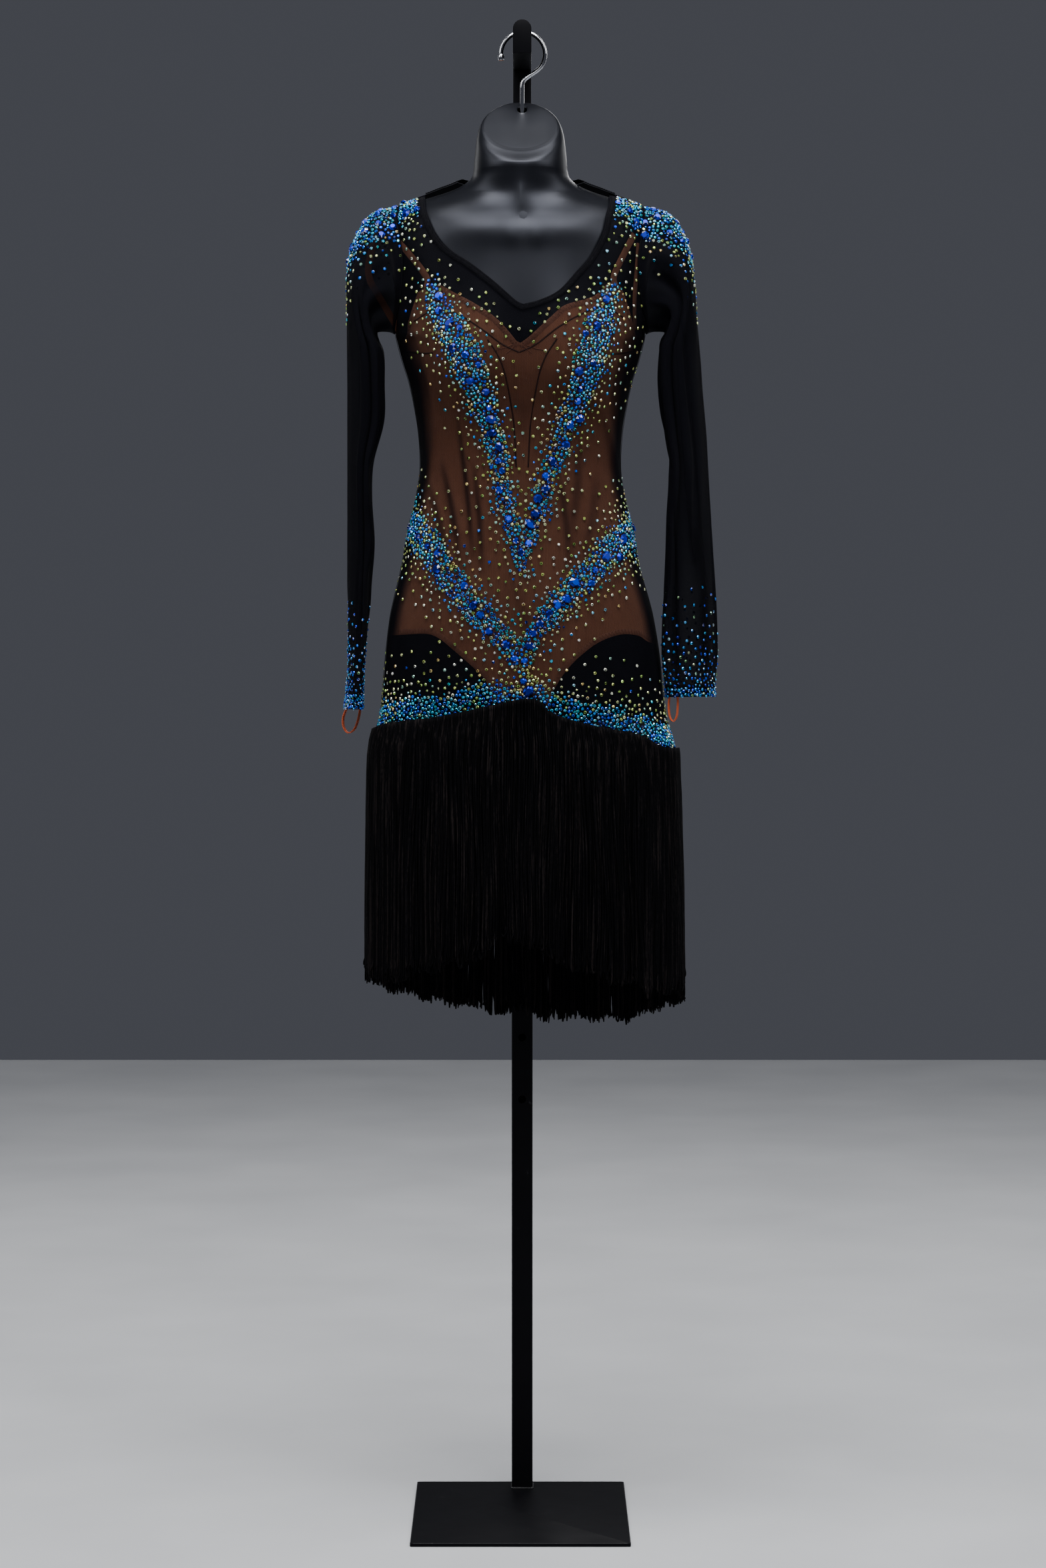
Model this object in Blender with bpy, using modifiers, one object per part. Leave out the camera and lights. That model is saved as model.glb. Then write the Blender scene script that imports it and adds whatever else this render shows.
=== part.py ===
"""Latin dance dress on a hanging dress form and a telescoping stand.

A black stretch-mesh dress with long sleeves and a fringe skirt is worn over a brown bodysuit by a
hollow, limbless plastic form. The form turns on a chrome hook that hangs on the arm of the stand.
Metres, +Z up. The dress faces -Y, and the origin is the centre of the base plate's underside.
Left and right are the wearer's, so the left sleeve is at +X.
"""
import bpy
import bmesh
import math
from collections import namedtuple
from mathutils import Vector

# Clearances and cloth
SEAM_GAP = 0.0003
LAYER_GAP = 0.0005
CLOTH = 0.001
FORM_WALL = 0.0025
CUTTER_REACH = 0.2
BORE_MARGIN = 0.01
SPIN_MERGE = 0.00005

# Stand
PLATE_WIDTH = 0.254
PLATE_DEPTH = 0.305
PLATE_THICKNESS = 0.004
POST_X = 0.002
POST_Y = 0.128
OUTER_TUBE_SIDE = 0.0254
OUTER_TUBE_WALL = 0.0014
OUTER_TUBE_TOP = 1.17
INNER_TUBE_SIDE = 0.022
INNER_TUBE_WALL = 0.0015
INNER_TUBE_BOTTOM = 0.77
ARM_TOP = 1.7575
ARM_TIP_Y = -0.0185
STOP_THICKNESS = 0.003
STOP_TOP = 1.775
CLAMP_Z = 1.145
CLAMP_HOLE_RADIUS = 0.0034
CLAMP_STUD_RADIUS = 0.0031
CLAMP_STUD_REACH = 0.006
KNOB_RADIUS = 0.0125
KNOB_LENGTH = 0.022
KNOB_BEVEL = 0.002

# Hook
HOOK_X = 0.002
HOOK_Y = 0.005
WIRE_RADIUS = 0.0025
HOOK_LOOP_RADIUS = 0.0262
HOOK_LOOP_OFFSET = 0.001
HOOK_STEM_TOP = 1.700
HOOK_STEM_BELOW_SEAT = 0.010
HOOK_BEND_ANGLE = math.radians(-38)
HOOK_END_ANGLE = math.radians(184)
HOOK_BEND_REACH = 0.030
HOOK_TIP_RADIUS = 0.0036
NUT_RADIUS = 0.009
NUT_HEIGHT = 0.006
HOOK_HOLE_RADIUS = 0.006
SEAT_Z = 1.590
SEAT_THICKNESS = 0.003

# Form: its section at each height. The front and back halves are superellipses that meet on the
# widest line. A power of 2 is an ellipse, less is more pointed at the sides, more is squarer.
Section = namedtuple("Section", "z half_width shift front back middle front_power back_power")
SECTIONS = [
    Section(0.840, 0.179, 0.004, -0.102, 0.093, 0.000, 2.3, 2.3),
    Section(0.885, 0.178, 0.004, -0.102, 0.092, 0.000, 2.3, 2.3),
    Section(0.912, 0.177, 0.0035, -0.101, 0.091, 0.000, 2.3, 2.3),
    Section(0.945, 0.1685, 0.003, -0.096, 0.087, 0.000, 2.3, 2.3),
    Section(0.966, 0.165, 0.003, -0.095, 0.087, 0.000, 2.3, 2.3),
    Section(1.021, 0.160, 0.0025, -0.096, 0.088, 0.000, 2.3, 2.3),
    Section(1.067, 0.1535, 0.0015, -0.095, 0.086, 0.000, 2.3, 2.3),
    Section(1.091, 0.148, 0.001, -0.094, 0.083, 0.000, 2.3, 2.3),
    Section(1.129, 0.138, 0.000, -0.091, 0.078, 0.000, 2.3, 2.3),
    Section(1.165, 0.132, 0.000, -0.088, 0.072, 0.000, 2.3, 2.3),
    Section(1.206, 0.122, 0.000, -0.084, 0.067, 0.000, 2.3, 2.3),
    Section(1.242, 0.1165, 0.000, -0.082, 0.065, 0.000, 2.3, 2.3),
    Section(1.283, 0.118, 0.000, -0.083, 0.068, 0.000, 2.3, 2.3),
    Section(1.316, 0.123, 0.000, -0.085, 0.073, 0.000, 2.3, 2.3),
    Section(1.348, 0.130, 0.000, -0.089, 0.078, 0.000, 2.3, 2.3),
    Section(1.373, 0.138, 0.000, -0.092, 0.082, 0.000, 2.3, 2.3),
    Section(1.404, 0.1455, 0.000, -0.0955, 0.085, 0.000, 2.3, 2.3),
    Section(1.450, 0.149, 0.000, -0.0965, 0.088, 0.000, 2.2, 2.2),
    Section(1.500, 0.156, 0.000, -0.0945, 0.086, 0.000, 2.0, 2.0),
    Section(1.520, 0.159, 0.000, -0.093, 0.082, 0.000, 1.85, 1.85),
    Section(1.535, 0.160, 0.000, -0.091, 0.077, 0.000, 1.7, 1.7),
    Section(1.545, 0.156, 0.000, -0.0885, 0.072, 0.000, 1.55, 1.55),
    Section(1.553, 0.146, 0.000, -0.0855, 0.066, -0.002, 1.4, 1.4),
    Section(1.560, 0.127, 0.000, -0.083, 0.060, -0.004, 1.3, 1.3),
    Section(1.566, 0.105, 0.000, -0.081, 0.054, -0.007, 1.3, 1.3),
    Section(1.5715, 0.086, 0.000, -0.0795, 0.048, -0.010, 1.45, 1.45),
    Section(1.577, 0.0715, 0.000, -0.079, 0.042, -0.014, 1.65, 1.65),
    Section(1.586, 0.0590, 0.000, -0.0785, 0.036, -0.019, 1.9, 1.9),
    Section(1.595, 0.0555, 0.000, -0.0775, 0.034, -0.022, 2.0, 2.0),
]
FORM_BOTTOM = 0.945
NECKLINE_BACK = 1.577
LONGEST_STEP = 0.050
FRONT_STEPS = 14
BACK_STEPS = 12

# Bust of the general figure
BUST_X = 0.068
BUST_Z = 1.362
BUST_DEPTH = 0.026
BUST_WIDTH = 0.040
BUST_ABOVE = 0.052
BUST_BELOW = 0.036

# Slanted end of the neck: each row is an oval on a plane that leans back.
CapRow = namedtuple("CapRow", "z slope half_width half_depth")
CAP_MIDDLE_Y = -0.022
CAP_ROWS = [
    CapRow(1.615, 0.30, 0.0540, 0.0535),
    CapRow(1.634, 0.62, 0.0515, 0.0480),
    CapRow(1.6435, 0.86, 0.0475, 0.0425),
    CapRow(1.6475, 0.92, 0.0440, 0.0385),
    CapRow(1.6475, 0.92, 0.0405, 0.0355),
    CapRow(1.6475, 0.92, 0.0200, 0.0175),
]

# Outlines as seen from the front: (x, z)
NECKLINE = [
    (-0.1129, 1.580), (-0.1125, 1.558), (-0.1093, 1.542), (-0.1004, 1.5186), (-0.0841, 1.498),
    (-0.0570, 1.479), (-0.0304, 1.4575), (-0.0063, 1.436), (0.003, 1.4307), (0.0232, 1.436),
    (0.0445, 1.447), (0.0658, 1.471), (0.082, 1.490), (0.0958, 1.5185), (0.1003, 1.5405),
    (0.1045, 1.556), (0.1055, 1.580),
]
BODYSUIT_TOP = [
    (-0.200, 1.374), (-0.146, 1.385), (-0.1331, 1.3985), (-0.1305, 1.415), (-0.1193, 1.4486),
    (-0.0996, 1.4566), (-0.0729, 1.443), (-0.0465, 1.4276), (-0.0249, 1.4113), (-0.0016, 1.3847),
    (0.0123, 1.395), (0.0363, 1.4168), (0.0525, 1.430), (0.0843, 1.4408), (0.1030, 1.459),
    (0.1170, 1.4530), (0.1290, 1.420), (0.1360, 1.396), (0.146, 1.385), (0.200, 1.374),
]
BODYSUIT_LEGS = [
    (0.200, 1.030), (0.1548, 1.037), (0.139, 1.0455), (0.1167, 1.047), (0.0900, 1.0374),
    (0.0658, 1.0188), (0.0495, 1.0002), (0.037, 0.980), (0.032, 0.900),
    (-0.031, 0.900), (-0.034, 0.978), (-0.0412, 0.9948), (-0.057, 1.011), (-0.0785, 1.0297),
    (-0.095, 1.0428), (-0.111, 1.048), (-0.1433, 1.0464), (-0.200, 1.043),
]
BODYSUIT_BACK = [
    (-0.200, 1.374), (-0.146, 1.385), (-0.100, 1.378), (-0.050, 1.352), (0.000, 1.343),
    (0.050, 1.352), (0.100, 1.378), (0.146, 1.385), (0.200, 1.374),
    (0.200, 1.030), (0.1548, 1.037), (0.125, 1.020), (0.090, 0.990), (0.055, 0.965), (0.033, 0.950),
    (0.032, 0.900), (-0.031, 0.900), (-0.032, 0.950), (-0.055, 0.965), (-0.090, 0.990),
    (-0.125, 1.022), (-0.1433, 1.0464), (-0.200, 1.043),
]
STRAPS = {
    "strap_front_right": [(-0.1190, 1.4492), (-0.0999, 1.4570), (-0.1075, 1.4690), (-0.1530, 1.5270),
                          (-0.1600, 1.5220), (-0.1135, 1.4650)],
    "strap_front_left": [(0.1167, 1.4536), (0.1035, 1.4592), (0.1060, 1.4690), (0.1290, 1.5190),
                         (0.1370, 1.5160), (0.1130, 1.4660)],
    "strap_side_left": [(0.1360, 1.3968), (0.1292, 1.4206), (0.1290, 1.4400), (0.1345, 1.5080),
                        (0.1425, 1.5080), (0.1375, 1.4400), (0.1390, 1.3945)],
}
BODYSUIT_FRONT_HEIGHT = 1.500
BODYSUIT_BACK_HEIGHT = 1.450
STRAP_HEIGHTS = (1.373, 1.545)
GUSSET_X = 0.0005
GUSSET_WIDTH = 0.060
GUSSET_DROP = 0.004
GUSSET_SAG = 0.006
BINDING_WIDTH = 0.0075
BINDING_BOTTOM = 1.400

# Hem: height of the fringe's top edge and of its ends, across the front and across the back
HEM_FRONT = [
    (-0.180, 0.928), (-0.157, 0.941), (-0.098, 0.951), (-0.039, 0.964), (0.000, 0.972),
    (0.022, 0.971), (0.036, 0.957), (0.080, 0.942), (0.139, 0.928), (0.159, 0.915), (0.188, 0.910),
]
HEM_BACK = [(-0.180, 0.928), (-0.120, 0.895), (0.000, 0.867), (0.120, 0.883), (0.188, 0.910)]
FRINGE_END_FRONT = [
    (-0.186, 0.648), (-0.160, 0.642), (-0.099, 0.659), (-0.051, 0.677), (-0.010, 0.694),
    (0.050, 0.669), (0.124, 0.642), (0.155, 0.632), (0.198, 0.630),
]
FRINGE_END_BACK = [
    (-0.186, 0.640), (-0.134, 0.611), (-0.078, 0.600), (-0.029, 0.589), (0.036, 0.582),
    (0.126, 0.583), (0.158, 0.594), (0.198, 0.617),
]
HEM_OVERLAP = 0.010
FRINGE_THICKNESS = 0.004
FRINGE_GAP = 0.0008
SEWN_DROPS = [0.0, 0.006, 0.013, 0.030]
FRINGE_ROWS = 4
HEM_MEASURED_AT = 0.920
FRINGE_BOTTOM = Section(0.600, 0.182, 0.005, -0.107, 0.094, 0.000, 2.3, 2.3)

# Sleeves: each ring by its edge beside the body and its outer edge, seen from the front, half its
# depth, and how far its flat shape is turned, in degrees. The first ring is the armhole.
ARMHOLE_Z = 1.4795
ARMHOLE_HALF_HEIGHT = 0.0735
ARMHOLE_HALF_DEPTH = 0.046
ARMHOLE_LIP = 0.0015
ARMHOLE_CUT_FROM = 0.100
SLEEVE_STEPS = 14
Ring = namedtuple("Ring", "inner_x inner_z outer_x outer_z half_depth turn")
SLEEVE_RIGHT = [
    Ring(0.1560, 1.4070, 0.1745, 1.5475, 0.0475, 0),
    Ring(0.1650, 1.4075, 0.1890, 1.5310, 0.0490, 0),
    Ring(0.1715, 1.4060, 0.2010, 1.5040, 0.0505, 0),
    Ring(0.1725, 1.4010, 0.2055, 1.4700, 0.0525, 0),
    Ring(0.1700, 1.3930, 0.2058, 1.4300, 0.0545, 4),
    Ring(0.1650, 1.3800, 0.2055, 1.3830, 0.0560, 8),
    Ring(0.1635, 1.3400, 0.2053, 1.3400, 0.0560, 10),
    Ring(0.1640, 1.3000, 0.2053, 1.3000, 0.0550, 10),
    Ring(0.1765, 1.2500, 0.2053, 1.2500, 0.0530, 8),
    Ring(0.1783, 1.2100, 0.2053, 1.2100, 0.0520, 8),
    Ring(0.1755, 1.1550, 0.2053, 1.1550, 0.0495, 8),
    Ring(0.1790, 1.1050, 0.2053, 1.1050, 0.0470, 8),
    Ring(0.1812, 1.0570, 0.2053, 1.0570, 0.0445, 8),
    Ring(0.1848, 1.0050, 0.2062, 1.0050, 0.0420, 8),
    Ring(0.1864, 0.9590, 0.2102, 0.9590, 0.0400, 8),
]
SLEEVE_LEFT = [
    Ring(0.1560, 1.4070, 0.1745, 1.5475, 0.0475, 0),
    Ring(0.1650, 1.4080, 0.1890, 1.5310, 0.0490, 0),
    Ring(0.1725, 1.4070, 0.2005, 1.5040, 0.0505, 0),
    Ring(0.1740, 1.4020, 0.2055, 1.4700, 0.0525, 0),
    Ring(0.1700, 1.3950, 0.2090, 1.4250, 0.0545, 6),
    Ring(0.1668, 1.3820, 0.2125, 1.3850, 0.0560, 12),
    Ring(0.1664, 1.3400, 0.2155, 1.3400, 0.0560, 14),
    Ring(0.1725, 1.2850, 0.2197, 1.2850, 0.0545, 15),
    Ring(0.1778, 1.2430, 0.2217, 1.2430, 0.0530, 15),
    Ring(0.1750, 1.1830, 0.2247, 1.1830, 0.0500, 22),
    Ring(0.1738, 1.1330, 0.2277, 1.1330, 0.0480, 28),
    Ring(0.1716, 1.0830, 0.2306, 1.0830, 0.0460, 34),
    Ring(0.1708, 1.0400, 0.2318, 1.0400, 0.0440, 38),
    Ring(0.1706, 1.0035, 0.2321, 1.0035, 0.0425, 40),
    Ring(0.1718, 0.9734, 0.2323, 0.9734, 0.0410, 40),
]

# Free bands: the strap that hangs off the shoulder inside the right sleeve, and the finger loops
LOOSE_STRAP = [
    (-0.1650, 0.0020, 1.5370), (-0.1730, 0.0050, 1.5100), (-0.1785, 0.0070, 1.4800),
    (-0.1770, 0.0090, 1.4620), (-0.1670, 0.0110, 1.4400), (-0.1550, 0.0120, 1.4250),
    (-0.1480, 0.0120, 1.4175), (-0.1448, 0.0120, 1.4110), (-0.1444, 0.0120, 1.4040),
    (-0.1420, 0.0120, 1.3940), (-0.1399, 0.0120, 1.3855),
]
STRAP_ACROSS = (0.17, 1, 0)
STRAP_WIDTH = 0.0070
LOOP_RIGHT = [
    (-0.2070, 0.0000, 0.9583), (-0.2105, -0.0010, 0.9480), (-0.2100, -0.0020, 0.9370),
    (-0.2045, -0.0025, 0.9300), (-0.1975, -0.0020, 0.9340), (-0.1930, -0.0010, 0.9450),
    (-0.1905, 0.0000, 0.9583),
]
LOOP_LEFT = [
    (0.1760, -0.0270, 0.9727), (0.1752, -0.0280, 0.9620), (0.1765, -0.0290, 0.9500),
    (0.1805, -0.0290, 0.9445), (0.1845, -0.0280, 0.9500), (0.1860, -0.0260, 0.9620),
    (0.1860, -0.0240, 0.9727),
]
LOOP_ACROSS = (0.35, 1, 0)
LOOP_WIDTH = 0.006
BAND_THICKNESS = 0.0012

# ---------------------------------------------------------------- scene and materials

for old in list(bpy.data.objects):
    bpy.data.objects.remove(old, do_unlink=True)

parts = bpy.data.collections.new("latin_dance_dress")
cutters = bpy.data.collections.new("cutters")
bpy.context.scene.collection.children.link(parts)
bpy.context.scene.collection.children.link(cutters)


def material(name, color, roughness, metallic=0.0):
    made = bpy.data.materials.new(name)
    made.use_nodes = True
    shader = made.node_tree.nodes["Principled BSDF"]
    shader.inputs["Base Color"].default_value = (*color, 1.0)
    shader.inputs["Roughness"].default_value = roughness
    shader.inputs["Metallic"].default_value = metallic
    return made


BLACK_MESH = material("black_mesh", (0.012, 0.012, 0.016), 0.80)
BROWN_JERSEY = material("brown_jersey", (0.130, 0.050, 0.026), 0.75)
BLACK_FRINGE = material("black_fringe", (0.008, 0.008, 0.010), 0.60)
LOOP_ELASTIC = material("loop_elastic", (0.480, 0.090, 0.030), 0.65)
FORM_PLASTIC = material("form_plastic", (0.012, 0.013, 0.017), 0.35)
POWDER_COAT = material("powder_coat", (0.010, 0.010, 0.012), 0.50)
HOOK_CHROME = material("hook_chrome", (0.750, 0.760, 0.780), 0.12, 1.0)


def new_object(name, mesh, surface=None, collection=parts):
    made = bpy.data.objects.new(name, mesh)
    collection.objects.link(made)
    if surface:
        mesh.materials.append(surface)
    return made


def from_bmesh(name, work, surface=None, collection=parts):
    mesh = bpy.data.meshes.new(name)
    work.normal_update()
    work.to_mesh(mesh)
    work.free()
    return new_object(name, mesh, surface, collection)


# ---------------------------------------------------------------- shapes of the figure


def smooth_value(rows, column, z):
    """One column of a table of rows with a z, along a smooth curve through the rows."""
    if z <= rows[0].z:
        return getattr(rows[0], column)
    if z >= rows[-1].z:
        return getattr(rows[-1], column)
    upper = next(i for i, row in enumerate(rows) if row.z > z)
    lower = upper - 1

    def slope(i):
        below, above = rows[max(i - 1, 0)], rows[min(i + 1, len(rows) - 1)]
        return (getattr(above, column) - getattr(below, column)) / (above.z - below.z)

    span = rows[upper].z - rows[lower].z
    t = (z - rows[lower].z) / span
    start, end = getattr(rows[lower], column), getattr(rows[upper], column)
    return ((1 + 2 * t) * (1 - t) ** 2 * start + t * (1 - t) ** 2 * span * slope(lower)
            + t * t * (3 - 2 * t) * end + t * t * (t - 1) * span * slope(upper))


def section_at(z):
    return Section(z, *(smooth_value(SECTIONS, column, z) for column in Section._fields[1:]))


def along(outline, x):
    """Height of an outline of (x, z) points at x."""
    if x <= outline[0][0]:
        return outline[0][1]
    for (x0, z0), (x1, z1) in zip(outline, outline[1:]):
        if x <= x1:
            return z0 + (z1 - z0) * (x - x0) / (x1 - x0)
    return outline[-1][1]


def bust(x, z):
    """How far the bust stands out of the plain section."""
    reach = BUST_ABOVE if z > BUST_Z else BUST_BELOW
    up = math.exp(-((z - BUST_Z) / reach) ** 2 / 2)
    across = sum(math.exp(-((x - side * BUST_X) / BUST_WIDTH) ** 2 / 2) for side in (-1, 1))
    return BUST_DEPTH * up * across


def section_point(section, angle):
    """Point of a section: angle 0 is the wearer's left side, pi/2 the front, 3 pi/2 the back."""
    c, s = math.cos(angle), math.sin(angle)
    power = 2 / (section.front_power if s >= 0 else section.back_power)
    x = section.half_width * math.copysign(abs(c) ** power, c) if abs(c) > 1e-9 else 0.0
    rise = abs(s) ** power if abs(s) > 1e-9 else 0.0
    if s >= 0:
        y = section.middle + (section.front - section.middle) * rise
        y -= bust(x, section.z) * min(1.0, 1.6 * rise)
    else:
        y = section.middle + (section.back - section.middle) * rise
    return Vector((section.shift + x, y, section.z))


ANGLES = [math.pi * i / FRONT_STEPS for i in range(FRONT_STEPS)]
ANGLES += [math.pi * (1 + i / BACK_STEPS) for i in range(BACK_STEPS)]
COLUMNS = len(ANGLES)
FRONT_COLUMNS = list(range(FRONT_STEPS + 1))
BACK_COLUMNS = [(FRONT_STEPS + i) % COLUMNS for i in range(BACK_STEPS + 1)]


def body_heights():
    """Heights of the sections, with more in between where they lie far apart."""
    heights = []
    for below, above in zip(SECTIONS, SECTIONS[1:]):
        steps = math.ceil((above.z - below.z) / LONGEST_STEP)
        heights += [below.z + (above.z - below.z) * k / steps for k in range(steps)]
    return heights + [SECTIONS[-1].z]


HEIGHTS = body_heights()
FIGURE = [[section_point(section_at(z), angle) for angle in ANGLES] for z in HEIGHTS]


def outward(grid, i, j):
    """Direction out of the figure at a point, long enough to move its facets out by one."""
    above, below = grid[min(i + 1, len(grid) - 1)], grid[max(i - 1, 0)]
    here = grid[i][j]
    left, right = grid[i][(j + 1) % COLUMNS], grid[i][j - 1]
    normal = (left - right).cross(above[j] - below[j]).normalized()
    if normal.dot(Vector((here.x, here.y - CAP_MIDDLE_Y, 0))) < 0:
        normal = -normal
    facets = []
    for side in (left, right):
        for end in (above[j], below[j]):
            facet = (side - here).cross(end - here)
            if facet.length > 1e-12:
                facets.append(abs(facet.normalized().dot(normal)))
    return normal / max(0.6, sum(facets) / len(facets))


OUTWARD = [[outward(FIGURE, i, j) for j in range(COLUMNS)] for i in range(len(HEIGHTS))]


def rows_between(low, high):
    return [i for i, z in enumerate(HEIGHTS) if low - 1e-6 <= z <= high + 1e-6]


def facet_y(z, columns, x):
    """Depth of the figure's facets at x, on the section at a height that has one."""
    row = FIGURE[rows_between(z, z)[0]]
    points = [row[j % COLUMNS] for j in columns]
    for a, b in zip(points, points[1:]):
        if min(a.x, b.x) <= x <= max(a.x, b.x):
            return a.y + (b.y - a.y) * (x - a.x) / (b.x - a.x)


def skin(name, grid, surface, closed=False, collection=parts):
    """Open surface through a grid of points, each square split the same way."""
    work = bmesh.new()
    points = [[work.verts.new(point) for point in row] for row in grid]
    columns = len(grid[0])
    last = columns if closed else columns - 1
    for i in range(len(grid) - 1):
        for j in range(last):
            k = (j + 1) % columns
            work.faces.new((points[i][j], points[i + 1][j], points[i + 1][k]))
            work.faces.new((points[i][j], points[i + 1][k], points[i][k]))
    return from_bmesh(name, work, surface, collection)


def solidify(thing, thickness, outwards=True):
    wall = thing.modifiers.new("Wall", "SOLIDIFY")
    wall.thickness = thickness
    wall.offset = 1.0 if outwards else -1.0
    wall.use_even_offset = True
    wall.use_rim = True


def extruded(name, outline, reach, surface=None, collection=parts):
    """Solid between a flat outline and the same outline moved by the reach."""
    work = bmesh.new()
    face = work.faces.new([work.verts.new(point) for point in outline])
    moved = bmesh.ops.extrude_face_region(work, geom=[face])
    corners = [item for item in moved["geom"] if isinstance(item, bmesh.types.BMVert)]
    bmesh.ops.translate(work, verts=corners, vec=reach)
    bmesh.ops.recalc_face_normals(work, faces=work.faces)
    return from_bmesh(name, work, surface, collection)


def as_cutter(made):
    made.hide_render = True
    made.display_type = "WIRE"
    return made


def prism(name, outline):
    """Cutter: an outline of (x, z) points, extruded from front to back."""
    points = [(x, -CUTTER_REACH, z) for x, z in outline]
    return as_cutter(extruded(name, points, (0, 2 * CUTTER_REACH, 0), None, cutters))


def cut(thing, cutter, operation="DIFFERENCE"):
    step = thing.modifiers.new(cutter.name, "BOOLEAN")
    step.object = cutter
    step.operation = operation
    step.solver = "EXACT"


def panel(name, layer, columns, low, high, surface):
    """Cloth wall on the figure, one layer thick, inset by half a seam gap at its side seams."""
    grid = []
    for i in rows_between(low, high):
        row = [FIGURE[i][j % COLUMNS] + OUTWARD[i][j % COLUMNS] * layer for j in columns]
        row[0] = row[0] + (row[1] - row[0]).normalized() * SEAM_GAP * 0.6
        row[-1] = row[-1] + (row[-2] - row[-1]).normalized() * SEAM_GAP * 0.6
        grid.append(row)
    thing = skin(name, grid, surface)
    solidify(thing, CLOTH)
    return thing


def solid_box(name, low, high, surface, collection=parts):
    work = bmesh.new()
    bmesh.ops.create_cube(work, size=1.0)
    low, high = Vector(low), Vector(high)
    bmesh.ops.scale(work, verts=work.verts, vec=high - low)
    bmesh.ops.translate(work, verts=work.verts, vec=(low + high) / 2)
    return from_bmesh(name, work, surface, collection)


def square_tube(name, centre_x, centre_y, side, wall, low_z, high_z, surface):
    """Upright square tube, open at both ends."""
    tube = solid_box(name, (centre_x - side / 2, centre_y - side / 2, low_z),
                     (centre_x + side / 2, centre_y + side / 2, high_z), surface)
    inner = side / 2 - wall
    bore = solid_box(name + "_bore", (centre_x - inner, centre_y - inner, low_z - BORE_MARGIN),
                     (centre_x + inner, centre_y + inner, high_z + BORE_MARGIN), None, cutters)
    cut(tube, as_cutter(bore))
    return tube


def round_cutter(name, radius, low, high):
    """Cutter: a cylinder from one point to another."""
    low, high = Vector(low), Vector(high)
    work = bmesh.new()
    bmesh.ops.create_cone(work, cap_ends=True, segments=20, radius1=radius, radius2=radius,
                          depth=(high - low).length)
    made = from_bmesh(name, work, None, cutters)
    made.location = (low + high) / 2
    made.rotation_mode = "QUATERNION"
    made.rotation_quaternion = Vector((0, 0, 1)).rotation_difference(high - low)
    return as_cutter(made)


def turned(name, profile, surface, location=(0, 0, 0), rotation=(0, 0, 0), steps=24):
    """Turned piece: a profile of (radius, height) points, top to bottom, spun about its axis."""
    work = bmesh.new()
    ring = profile[0] == profile[-1]
    corners = profile[:-1] if ring else profile
    points = [work.verts.new((radius, 0, height)) for radius, height in corners]
    points += points[:1] if ring else []
    for above, below in zip(points, points[1:]):
        work.edges.new((above, below))
    thing = from_bmesh(name, work, surface)
    spin = thing.modifiers.new("Spin", "SCREW")
    spin.steps = steps
    spin.render_steps = steps
    spin.use_merge_vertices = True
    spin.merge_threshold = SPIN_MERGE
    thing.location = location
    thing.rotation_euler = rotation
    return thing


def band(name, path, width_direction, width, surface):
    """Flat band along a path, with its width along the given direction."""
    work = bmesh.new()
    rings = []
    for i, point in enumerate(path):
        point = Vector(point)
        ahead = Vector(path[min(i + 1, len(path) - 1)])
        behind = Vector(path[max(i - 1, 0)])
        travel = (ahead - behind).normalized()
        across = Vector(width_direction)
        across = (across - travel * across.dot(travel)).normalized()
        out = travel.cross(across)
        corners = [(-1, -1), (1, -1), (1, 1), (-1, 1)]
        rings.append([work.verts.new(point + across * a * width / 2 + out * b * BAND_THICKNESS / 2)
                      for a, b in corners])
    for low, high in zip(rings, rings[1:]):
        for k in range(4):
            n = (k + 1) % 4
            work.faces.new((low[k], low[n], high[n], high[k]))
    work.faces.new(rings[0][::-1])
    work.faces.new(rings[-1])
    bmesh.ops.recalc_face_normals(work, faces=work.faces)
    return from_bmesh(name, work, surface)


# ---------------------------------------------------------------- stand


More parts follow.
